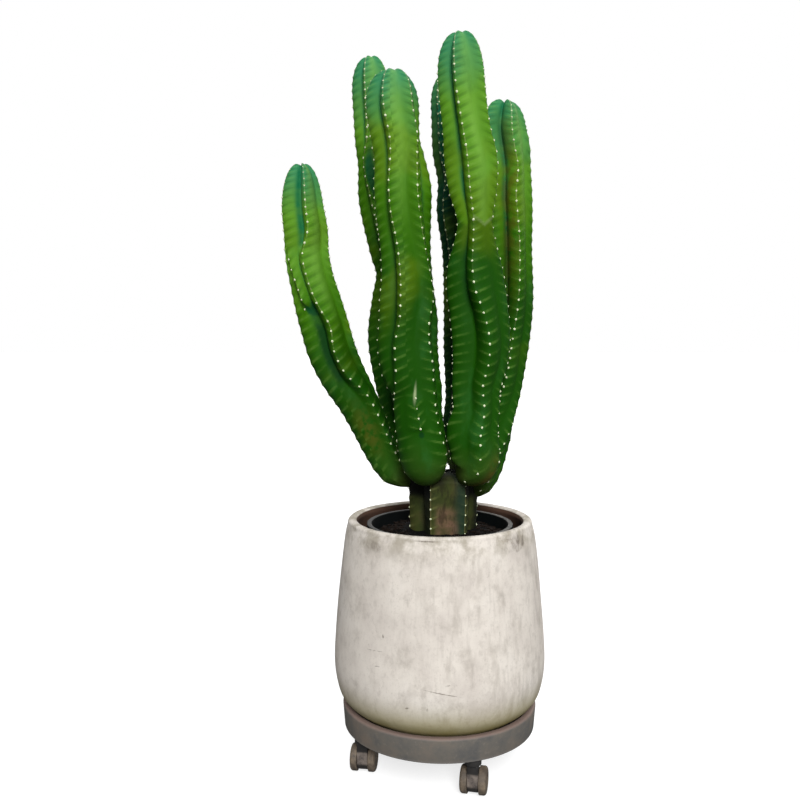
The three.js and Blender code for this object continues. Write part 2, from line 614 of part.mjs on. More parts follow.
function caster({ name, place, turn }) {
  const swivel = new THREE.Group();
  swivel.position.copy(onCaddy(place));
  swivel.rotation.z = radians(turn);
  swivel.add(mesh(`caster_${name}_pin`, pinGeometry(), STEEL));
  swivel.add(mesh(`caster_${name}_housing`, forkGeometry(), FORK_PLASTIC));
  const wheels = new THREE.Group();
  wheels.position.set(0, TRAIL, WHEEL_R);
  const axle = new THREE.CylinderGeometry(AXLE_R, AXLE_R, 2 * (AXLE_HALF_LENGTH - GAP), 12);
  wheels.add(mesh(`caster_${name}_axle`, axle.rotateZ(Math.PI / 2), STEEL));
  for (const [side, outward] of [['right', 1], ['left', -1]]) {
    const wheel = mesh(`caster_${name}_wheel_${side}`, wheelGeometry(), WHEEL_PLASTIC);
    wheel.position.x = outward * (FORK_WIDTH / 2);
    wheel.rotation.z = outward === 1 ? 0 : Math.PI;
    wheels.add(wheel);
  }
  swivel.add(wheels);
  return swivel;
}

// ---- the whole plant ------------------------------------------------------------------------

const pottedCactus = new THREE.Group();
pottedCactus.add(plantCaddy(), planter(), nurseryPot(), soil(), cactus(), ...CASTERS.map(caster));
pottedCactus.updateMatrixWorld(true);
const box = new THREE.Box3().setFromObject(pottedCactus, true);
pottedCactus.position.set(-(box.min.x + box.max.x) / 2, -(box.min.y + box.max.y) / 2, -box.min.z);

export default pottedCactus;
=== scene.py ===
import json
import math

import bmesh
import bpy
import numpy as np
from mathutils import Matrix, Vector


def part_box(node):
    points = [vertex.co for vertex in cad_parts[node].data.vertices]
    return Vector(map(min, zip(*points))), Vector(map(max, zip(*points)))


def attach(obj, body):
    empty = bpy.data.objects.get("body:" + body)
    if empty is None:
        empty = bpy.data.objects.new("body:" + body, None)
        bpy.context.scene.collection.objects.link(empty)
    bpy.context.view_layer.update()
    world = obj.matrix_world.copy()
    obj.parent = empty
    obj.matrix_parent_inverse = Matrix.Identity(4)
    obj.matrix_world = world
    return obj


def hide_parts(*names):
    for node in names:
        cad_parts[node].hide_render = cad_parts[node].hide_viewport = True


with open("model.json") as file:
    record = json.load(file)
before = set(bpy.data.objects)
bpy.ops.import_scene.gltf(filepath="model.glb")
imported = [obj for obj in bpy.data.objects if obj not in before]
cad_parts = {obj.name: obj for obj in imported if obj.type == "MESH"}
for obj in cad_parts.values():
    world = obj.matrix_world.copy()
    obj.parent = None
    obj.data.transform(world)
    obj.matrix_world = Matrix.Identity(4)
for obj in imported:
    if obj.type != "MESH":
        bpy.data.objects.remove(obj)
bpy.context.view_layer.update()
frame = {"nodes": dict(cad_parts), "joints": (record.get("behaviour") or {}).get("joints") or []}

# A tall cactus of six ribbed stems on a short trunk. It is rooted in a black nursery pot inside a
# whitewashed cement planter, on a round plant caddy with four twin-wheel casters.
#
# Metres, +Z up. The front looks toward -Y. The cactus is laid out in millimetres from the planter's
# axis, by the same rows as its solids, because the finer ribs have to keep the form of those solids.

MM = 0.001
PICTURE = 800  # the photograph's width and height, in pixels

# ---- camera --------------------------------------------------------------------------------------

SENSOR = 36.0
FOCAL_PIXELS = 898.2
CAMERA_HEIGHT = 0.825
CAMERA_DISTANCE = 1.6814  # from the planter's axis
CAMERA_LEFT = 0.0751  # of the planter's axis
CAMERA_DROP = math.radians(4.473)

planter_low, planter_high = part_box("planter")
AXIS = (planter_low + planter_high) / 2  # of the planter
AXIS.z = 0


def camera():
    data = bpy.data.cameras.new("camera")
    data.sensor_width = SENSOR
    data.lens = FOCAL_PIXELS * SENSOR / PICTURE
    eye = bpy.data.objects.new("camera", data)
    bpy.context.scene.collection.objects.link(eye)
    eye.location = (AXIS.x - CAMERA_LEFT, -CAMERA_DISTANCE, CAMERA_HEIGHT)
    eye.rotation_euler = (math.pi / 2 - CAMERA_DROP, 0, 0)
    bpy.context.scene.camera = eye


# ---- floor and light -----------------------------------------------------------------------------

FLOOR_SIZE = 60
FLOOR_GREY = (0.4, 0.4, 0.4)
FLOOR_GLOW = 0.72  # lifts the floor to white, and leaves a pale shadow
AMBIENT_LIGHT = 0.24  # from every side, beside the white backdrop that the camera sees
LAMPS = [  # name, degrees to the right of the camera and above it, power, and softness in degrees
    ("key", 4, 33, 3.6, 24), ("fill", 75, 15, 0.5, 60),
    ("overhead", 0, 85, 0.5, 80), ("behind", 165, 35, 1.5, 70),
]


def floor():
    bpy.ops.mesh.primitive_plane_add(size=FLOOR_SIZE)
    ground = bpy.context.object
    ground.name = "floor"
    paint = Finish("pale_floor")
    paint.surface(base_color=FLOOR_GREY, roughness=0.9, specular_ior_level=0.1,
                  emission_color=(1, 1, 1), emission_strength=FLOOR_GLOW)
    ground.data.materials.append(paint.material)
    ground.visible_diffuse = ground.visible_glossy = False  # it throws no light back up


def softbox(name, right_of_camera, above, power, softness):
    """A broad, distant lamp that shines from that side of the camera."""
    light = bpy.data.lights.new(name, "SUN")
    light.energy = power
    light.angle = math.radians(softness)
    lamp = bpy.data.objects.new(name, light)
    bpy.context.scene.collection.objects.link(lamp)
    lamp.rotation_euler = (math.radians(90 - above), 0, math.radians(right_of_camera))


def studio():
    """A white backdrop all round, the soft lamps and a little light from every side."""
    world = bpy.data.worlds.new("white_studio")
    bpy.context.scene.world = world
    world.use_nodes = True
    nodes, links = world.node_tree.nodes, world.node_tree.links
    backdrop = nodes.new("ShaderNodeMix")
    backdrop.inputs[2].default_value = AMBIENT_LIGHT
    backdrop.inputs[3].default_value = 1.0
    links.new(nodes.new("ShaderNodeLightPath").outputs["Is Camera Ray"], backdrop.inputs[0])
    links.new(backdrop.outputs[0], nodes["Background"].inputs["Strength"])
    nodes["Background"].inputs["Color"].default_value = (1, 1, 1, 1)
    for lamp in LAMPS:
        softbox(*lamp)
    bpy.context.scene.view_settings.view_transform = "Standard"


# ---- shader maths --------------------------------------------------------------------------------


def shade(code):
    """A colour given as 0xRRGGBB on the screen, in the linear light that shaders use."""
    parts = [(code >> shift & 255) / 255 for shift in (16, 8, 0)]
    return tuple(c / 12.92 if c <= 0.04045 else ((c + 0.055) / 1.055) ** 2.4 for c in parts)


class Value:
    """One output of a shader node. Arithmetic on it adds Math nodes to its material."""

    def __init__(self, finish, socket):
        self.finish, self.socket = finish, socket

    def math(self, operation, *terms):
        return self.finish.node("Math", {"operation": operation}, dict(enumerate(terms)))

    def __add__(self, other):
        return self.math("ADD", self, other)

    def __sub__(self, other):
        return self.math("SUBTRACT", self, other)

    def __rsub__(self, other):
        return self.math("SUBTRACT", other, self)

    def __mul__(self, other):
        return self.math("MULTIPLY", self, other)

    __radd__ = __add__
    __rmul__ = __mul__

    def rise(self, low, high):
        """0 below low and 1 above high, smoothly between. With low above high it falls."""
        settings = {"interpolation_type": "SMOOTHSTEP"}
        return self.finish.node("MapRange", settings, {"Value": self, "From Min": low, "From Max": high})


class Finish:
    """A material with the nodes that make its colour, gloss and relief."""

    def __init__(self, name):
        self.material = bpy.data.materials.new(name)
        self.material.use_nodes = True
        self.tree = self.material.node_tree
        self.shader = self.tree.nodes["Principled BSDF"]

    def node(self, kind, settings=None, inputs=None, output=0):
        """A node of that type with its settings, then the values or links of its sockets."""
        made = self.tree.nodes.new("ShaderNode" + kind)
        for key, value in (settings or {}).items():
            if key == "stops":
                self.set_stops(made.color_ramp, value)
            else:
                setattr(made, key, value)
        for key, value in (inputs or {}).items():
            self.feed(self.find(made.inputs, key), value)
        return Value(self, self.find(made.outputs, output))

    def find(self, sockets, key):
        """A socket by its number, or by its name among those that the node's settings leave in use."""
        if isinstance(key, int):
            return sockets[key]
        return next(socket for socket in sockets if socket.enabled and socket.name == key)

    def feed(self, socket, value):
        """Links or sets a socket. A colour is given by its code, or as linear red, green and blue."""
        if isinstance(value, Value):
            self.tree.links.new(value.socket, socket)
        elif socket.type == "RGBA":
            socket.default_value = (*(shade(value) if isinstance(value, int) else value), 1)
        else:
            socket.default_value = value

    def set_stops(self, ramp, stops):
        while len(ramp.elements) < len(stops):
            ramp.elements.new(0.5)
        for element, (place, code) in zip(ramp.elements, stops):
            element.position = place
            element.color = (*shade(code), 1)

    def attributes(self, *names):
        """The values that a mesh holds at its points, by their names."""
        return [self.node("Attribute", {"attribute_name": name}, output="Fac") for name in names]

    def place(self, scale=(1, 1, 1), shift=(0, 0, 0)):
        """The object's own coordinates, in metres, stretched and moved for a texture."""
        where = self.node("TexCoord", output="Object")
        return self.node("Mapping", {}, {"Vector": where, "Scale": scale, "Location": shift})

    def along(self, axes):
        """How far each point lies along those of X, Y and Z, in metres."""
        return [self.node("SeparateXYZ", {}, {"Vector": self.place()}, output=axis) for axis in axes]

    def noise(self, scale, detail=4, roughness=0.55, at=None):
        inputs = {"Vector": at or self.place(), "Scale": scale, "Detail": detail, "Roughness": roughness}
        return self.node("TexNoise", {}, inputs, output="Fac")

    def ramp(self, value, *stops):
        """A colour that runs through stops of [place, colour code]."""
        return self.node("ValToRGB", {"stops": stops}, {"Fac": value}, output="Color")

    def mix(self, share, under, over):
        inputs = {"Factor": share, "A": under, "B": over}
        return self.node("Mix", {"data_type": "RGBA"}, inputs, "Result")

    def coats(self, colour, *layers):
        """Layers of (share, colour) laid one over another."""
        for share, over in layers:
            colour = self.mix(share, colour, over)
        return colour

    def bump(self, height, distance, strength=1.0, under=None):
        inputs = {"Height": height, "Distance": distance, "Strength": strength}
        if under:
            inputs["Normal"] = under
        return self.node("Bump", {}, inputs, output="Normal")

    def surface(self, **sockets):
        """Feeds the shader's sockets: base_color for Base Color, and so on."""
        for name, value in sockets.items():
            self.feed(self.shader.inputs[name.replace("_", " ").title().replace("Ior", "IOR")], value)
        return self


# ---- shared geometry -----------------------------------------------------------------------------


def piece(name, shape, finish, slot, replaces=(), body="pot_and_plant", place=None, values=None,
          flat=False, weld=False):
    """A mesh that rides on a body. Its shape is points, in millimetres from the planter's axis or in
    the frame of its place, and faces. The values at its points are there for its material."""
    points, faces = shape
    at = np.array(Matrix.Translation(AXIS) if place is None else place)
    points = np.asarray(points) * MM @ at[:3, :3].T + at[:3, 3]
    mesh = bpy.data.meshes.new(name)
    mesh.from_pydata([tuple(p) for p in points], [], faces)
    mesh.validate()
    for key, numbers in (values or {}).items():
        mesh.attributes.new(key, "FLOAT", "POINT").data.foreach_set("value", np.asarray(numbers, np.float32))
    if not flat:
        mesh.polygons.foreach_set("use_smooth", [True] * len(mesh.polygons))
    mesh.materials.append(finish.material)
    made = bpy.data.objects.new(name, mesh)
    bpy.context.scene.collection.objects.link(made)
    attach(made, body)
    if replaces:
        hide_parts(*replaces)
    if weld:
        join_points(mesh)


def join_points(mesh):
    """Joins points that lie on each other, such as those of a profile that ends on its axis."""
    shape = bmesh.new()
    shape.from_mesh(mesh)
    bmesh.ops.remove_doubles(shape, verts=shape.verts, dist=1e-6)
    bmesh.ops.dissolve_degenerate(shape, edges=shape.edges, dist=1e-7)
    shape.to_mesh(mesh)
    shape.free()


def points_and_faces(shape):
    """What a bmesh holds. The bmesh is freed."""
    shape.verts.index_update()
    points = np.array([vert.co for vert in shape.verts])
    faces = [[vert.index for vert in face.verts] for face in shape.faces]
    shape.free()
    return points, faces


def moved(faces, start):
    """Faces whose points are counted from a later one."""
    return [[start + v for v in face] for face in faces]


def grid_faces(rows, columns):
    """Quads of a grid of points that runs round and round, row by row upward."""
    faces = []
    for low in range(0, (rows - 1) * columns, columns):
        for column in range(columns):
            right, high = (column + 1) % columns, low + columns
            faces.append((low + column, low + right, high + right, high + column))
    return faces


def smooth_rows(rows):
    """A smooth curve through rows of [height, values...], read at any heights."""
    table = np.array(rows, float)
    heights, values = table[:, 0], table[:, 1:]
    before = np.maximum(np.arange(len(heights)) - 1, 0)
    after = np.minimum(np.arange(len(heights)) + 1, len(heights) - 1)
    slopes = (values[after] - values[before]) / (heights[after] - heights[before])[:, None]

    def read(height):
        height = np.clip(np.asarray(height, float), heights[0], heights[-1])
        i = np.clip(np.searchsorted(heights, height) - 1, 0, len(heights) - 2)
        span = heights[i + 1] - heights[i]
        t = (height - heights[i]) / span
        ease, leave, arrive = t * t * (3 - 2 * t), t * (1 - t) ** 2 * span, t * t * (t - 1) * span
        return (values[i] + ease[..., None] * (values[i + 1] - values[i])
                + leave[..., None] * slopes[i] + arrive[..., None] * slopes[i + 1])

    return read


def smoothstep(value, low, high):
    t = np.clip((value - low) / (high - low), 0, 1)
    return t * t * (3 - 2 * t)


def unit(vectors):
    return vectors / np.linalg.norm(vectors, axis=-1, keepdims=True)


# ---- the cactus ----------------------------------------------------------------------------------

AREOLE_PITCH = 18  # along a rib
TIP_BLUNTNESS = 2.3  # the power of a tip's curve, where 2 gives an ellipse
TIP_CROWDING = 1.35  # areoles sit closer together on a rounded tip, by this share
ROW_STEP = AREOLE_PITCH / 5  # between two rows of points
FOOT_ROWS, TIP_ROWS = 10, 36  # rows of points over the two rounded ends
END_ANGLE = 88  # degrees round an end to its last row, which a fan of triangles closes
END_GAP = 0.02  # keeps a point off the very end of a stem
STRETCH = 8  # over which a stem's direction is taken
FIRST_RIB = 4  # where the ribs' directions begin in a row, after its height
FIRST_AREOLE = 0.25  # how high the lowest areole sits, as a share of the rounded foot
TIP_AIM = 12  # an areole on a tip faces away from the middle of the stem this far below it
EDGE_WAVE = 0.65  # half the height of the waves of a rib's edge
EDGE_FADE = 1.3  # the power by which the waves die out toward the valley
RIDGE_CLIMB = 13  # how far a ridge on a flank climbs from the rib's edge to the valley
WAIST_DROP = 14  # how much lower a stem's waist is in the middle of a valley
SEAM_WIDTH = 5.5  # from the middle of the pale seam at a waist to where it has mostly faded
OLDER_BELOW, YOUNGER_ABOVE = 0.1, 0.13  # how far a waist sets the age of the skin back and forth
TIP_DIMPLE = 4  # depth of the dimple in the middle of a tip
TIP_FURROW = 6  # how far the valleys dip below the ribs' edges at a tip
SHORT_RIB_HEIGHT = 0.95  # of its neighbours'
SHORT_VALLEY_DEPTH = 0.6  # of the two valleys beside a short rib
SHORT_VALLEY_ROUNDNESS = 0.3  # of their floors
BARE_LOW_END, BARE_HIGH_END = 6, 12  # lengths of a short rib without areoles
OPEN_DEPTH = 0.4  # of a stem's open valley, as a share of the others'
OPEN_ROUNDNESS = 0.7  # of its floor, at least, where 1 is that of a wide valley
NARROW, WIDE = 60, 100  # degrees from rib to rib, of a sharp valley and of a round one

# The columns of points from one rib's edge to the next, as shares of the way.
ACROSS = [0, 0.02, 0.06, 0.12, 0.19, 0.27, 0.35, 0.43, 0.5, 0.57, 0.65, 0.73, 0.81, 0.88, 0.94, 0.98]

# Each stem's rows run from its foot to its tip. A row is a height, the middle of the stem there,
# the radius of the ribs' edges, the radius of the valleys as a share of it, and the direction of
# each rib, in degrees from the front and positive toward the right. foot and tip are the lengths
# of the two rounded ends. valley_place is how far a valley lies from a rib to the next. The valley
# after the rib open_after is a broad, shallow one. A short rib stands in the valley after the rib
# that it names. Each of the marks is a pale streak, or painted shade in a pocket of the skin: the
# rib that it follows, how far across the valley it lies and its half width, its height and half
# height, and its strength, below 0 for painted shade. The scar patches are given in the same way:
# tan scars, and on stem_right a tall olive-brown patch of painted shade where stem_front shades it.
# new_growth is the height where a stem's younger part begins, how softly, and how pale its seam is.
STEMS = {}

STEMS["stem_left"] = dict(
    foot=26, tip=110, open_after=1, valley_place=0.8, new_growth=[745, 50, 0],
    marks=[[0, 0.52, 0.09, 866, 9, -1]], scars_and_shade=[[0, 0.55, 0.3, 640, 40, 0.5]],
    short_rib=dict(after=0, low_end=24, high_end=30, rows=[[862, -34], [900, -40], [940, -52], [985, -64]]),
    rows=[
        [537, -36, 2, 22, 0.85, -64, 48, 120, 192, 232],
        [549, -68, 2, 27, 0.81, -66, 48, 120, 192, 234],
        [565, -90, 1, 30, 0.78, -68, 48, 120, 190, 236],
        [603, -113, 0, 32, 0.73, -72, 47, 118, 176, 232],
        [648, -133, 0, 35, 0.74, -76, 43, 106, 164, 224],
        [693, -155, 0, 38, 0.68, -78, 37, 94, 154, 218],
        [739, -181, 0, 43, 0.54, -78, 12, 80, 146, 214],
        [784, -201, 0, 46, 0.47, -77, 8, 76, 144, 213],
        [828, -214, 0, 46, 0.47, -79, 15, 78, 143, 212],
        [873, -226, 0, 45, 0.47, -84, 0, 74, 140, 207],
        [917, -237, 0, 43, 0.46, -88, -8, 68, 136, 204],
        [961, -245, 0, 43, 0.44, -74, -9, 66, 138, 212],
        [1005, -249, 0, 43, 0.44, -66, 10, 74, 146, 220],
        [1050, -255, 0, 41, 0.44, -64, 13, 78, 150, 222],
        [1131, -257, 0, 41, 0.44, -62, 14, 80, 152, 224],
    ])

STEMS["stem_back_left"] = dict(
    foot=40, tip=80, open_after=1, marks=[[1, 0.2, 0.17, 1118, 50, -1]],
    rows=[
        [543, -24, 36, 26, 0.78, -92, -18, 54, 126, 198],
        [560, -36, 54, 32, 0.76, -92, -18, 54, 126, 198],
        [600, -54, 76, 39, 0.68, -90, -18, 54, 126, 198],
        [648, -63, 84, 42, 0.6, -88, -16, 56, 128, 200],
        [726, -79, 86, 46, 0.52, -84, -14, 58, 130, 202],
        [809, -89, 86, 49, 0.47, -84, -16, 56, 128, 202],
        [883, -85, 86, 45, 0.47, -86, -18, 54, 126, 200],
        [937, -85, 86, 37, 0.52, -88, -20, 52, 124, 198],
        [980, -95, 86, 39, 0.5, -86, -20, 52, 124, 198],
        [1076, -112, 86, 43, 0.46, -90, -26, 50, 124, 196],
        [1145, -117, 86, 40, 0.47, -98, -44, 44, 122, 192],
        [1190, -121, 86, 41, 0.46, -90, -24, 50, 124, 196],
        [1265, -126.5, 86, 40, 0.44, -90, -20, 52, 124, 196],
        [1348, -133, 86, 40, 0.44, -90, -20, 52, 124, 196],
    ])

STEMS["stem_front_left"] = dict(
    foot=46, tip=68, open_after=0, marks=[[0, 0.55, 0.04, 714, 20, 0.9], [0, 0.64, 0.05, 641, 6, -1]],
    short_rib=dict(after=0, low_end=8, high_end=30, rows=[[646, 0], [724, -6]]),
    rows=[
        [549, -15, -40, 36, 0.86, -88, 56, 112, 160, 200, 236],
        [575, -27, -65, 42, 0.83, -88, 58, 112, 160, 200, 236],
        [605, -32, -74, 45, 0.81, -86, 58, 112, 160, 200, 236],
        [640, -37, -75, 45, 0.78, -82, 46, 108, 158, 198, 236],
        [681, -43, -75, 45, 0.73, -72, 44, 104, 156, 198, 238],
        [714, -45, -75, 47, 0.65, -60, 39, 102, 158, 204, 246],
        [750, -54, -75, 53, 0.6, -33, 45, 106, 162, 216, 264],
        [798, -60, -75, 55, 0.55, -26, 41, 106, 164, 220, 274],
        [840, -59, -75, 54, 0.52, -18, 40, 106, 166, 222, 280],
        [880, -60, -75, 52, 0.52, -16, 56, 112, 168, 224, 282],
        [913, -61, -75, 48, 0.55, -16, 57, 112, 168, 224, 282],
        [966, -64, -75, 46, 0.55, -19, 45, 108, 168, 222, 278],
        [1029, -68, -75, 49.5, 0.52, -28, 32, 102, 164, 218, 272],
        [1075, -70, -75, 51, 0.52, -29, 29, 100, 164, 218, 272],
        [1122, -75, -75, 46, 0.55, -22, 40, 106, 166, 222, 278],
        [1153, -81, -75, 45, 0.55, -15, 54, 112, 170, 226, 284],
        [1210, -87, -75, 48, 0.52, -20, 43, 108, 168, 224, 280],
        [1278, -88, -75, 48, 0.52, -24, 42, 108, 168, 224, 280],
    ])

STEMS["stem_front"] = dict(
    foot=44, tip=90, open_after=1, new_growth=[1022, 4, 0.4], scars_and_shade=[[1, 0.75, 0.35, 572, 24, 0.8]],
    rows=[
        [549, 35, -40, 36, 0.83, -84, 0, 78, 150, 214],
        [575, 58, -62, 42, 0.81, -86, 4, 78, 150, 214],
        [605, 60, -70, 44.5, 0.76, -86, 8, 76, 150, 212],
        [641, 55, -70, 47.5, 0.7, -80, 14, 73, 148, 214],
        [681, 61, -70, 43.5, 0.65, -73, 16, 70, 148, 218],
        [726, 62, -70, 45, 0.6, -80, 10, 72, 146, 214],
        [771, 68, -70, 49.5, 0.52, -84, 14, 84, 152, 212],
        [816, 69, -70, 52.5, 0.47, -82, 11, 86, 154, 214],
        [860, 65, -70, 52.5, 0.46, -85, 3, 83, 152, 212],
        [896, 60, -70, 52.5, 0.47, -87, -6, 84, 150, 210],
        [940, 57, -70, 48, 0.52, -82, -9, 82, 148, 212],
        [975, 57, -70, 39, 0.6, -76, -8, 76, 146, 214],
        [1015, 57, -70, 33, 0.7, -72, -8, 69, 144, 214],
        [1071, 54, -70, 43.5, 0.55, -84, -12, 70, 142, 208],
        [1123, 50, -70, 47.5, 0.47, -88, -12, 70, 140, 206],
        [1175, 44, -70, 45, 0.44, -82, -16, 54, 130, 204],
        [1240, 37, -70, 45.5, 0.43, -80, -21, 49, 122, 202],
        [1344, 29.5, -70, 45.5, 0.43, -80, -24, 48, 120, 202],
    ])

STEMS["stem_back"] = dict(
    foot=40, tip=70, open_after=1,
    rows=[
        [541, 26, 26, 26, 0.78, -42, 30, 102, 174, 246],
        [560, 44, 56, 31, 0.76, -42, 30, 102, 174, 246],
        [600, 46, 84, 37, 0.68, -42, 30, 102, 174, 246],
        [640, 48, 92, 40, 0.63, -42, 30, 102, 174, 246],
        [690, 54, 96, 41, 0.57, -40, 32, 104, 176, 248],
        [785, 55, 97, 45, 0.48, -36, 36, 108, 180, 252],
        [883, 52, 95, 43, 0.47, -38, 34, 106, 178, 250],
        [980, 46, 92, 41, 0.5, -42, 30, 102, 174, 246],
        [1057, 39, 91, 46, 0.46, -44, 28, 100, 172, 244],
        [1115, 37, 90, 41, 0.5, -40, 32, 104, 176, 248],
        [1172, 31, 90, 46, 0.46, -42, 30, 102, 174, 246],
        [1250, 25, 90, 43, 0.44, -42, 30, 102, 174, 246],
        [1322, 20, 90, 43, 0.44, -42, 30, 102, 174, 246],
    ])

STEMS["stem_right"] = dict(
    # its first scar patch is painted shade, olive brown, where stem_front shades this face
    foot=30, tip=66, open_after=0, scars_and_shade=[[4, 0.75, 0.3, 1060, 150, 0.6], [4, 0.8, 0.3, 600, 40, 0.5]],
    rows=[
        [512, 56, 6, 24, 0.85, -52, 22, 94, 166, 238],
        [530, 70, 10, 29, 0.83, -52, 22, 94, 166, 238],
        [560, 84, 14, 34, 0.78, -49, 25, 95, 166, 238],
        [600, 94, 17, 37, 0.74, -44, 31, 99, 168, 239],
        [640, 102, 19, 41, 0.68, -30, 45, 114, 184, 254],
        [672, 105, 20, 42, 0.6, -10, 64, 136, 206, 276],
        [729, 114, 24, 44, 0.52, 8, 82, 152, 224, 296],
        [806, 125, 28, 45.5, 0.47, 10, 82, 154, 226, 298],
        [881, 130, 30, 47, 0.46, 17, 86, 158, 230, 302],
        [975, 127, 30, 47, 0.46, 23, 90, 162, 234, 306],
        [1034, 127, 30, 47, 0.46, 17, 87, 159, 231, 303],
        [1072, 126, 30, 47, 0.46, 14, 84, 156, 228, 300],
        [1122, 123, 30, 47, 0.46, 22, 88, 160, 232, 304],
        [1160, 121, 30, 47, 0.46, 15, 85, 157, 229, 301],
        [1200, 115, 30, 46, 0.46, 17, 87, 159, 231, 303],
        [1252, 120, 30, 46, 0.46, 18, 88, 160, 232, 304],
    ])

TRUNK_RIBS = range(-24, 336, 60)
STEMS["trunk"] = dict(
    foot=60, tip=17, open_after=0, valley_place=0.5,
    rows=[
        [392, 7, 0, 59, 0.62, *TRUNK_RIBS],
        [450, 7, 0, 63, 0.62, *TRUNK_RIBS],
        [505, 7, 0, 65, 0.64, *TRUNK_RIBS],
        [560, 7, 0, 65, 0.74, *TRUNK_RIBS],
    ])


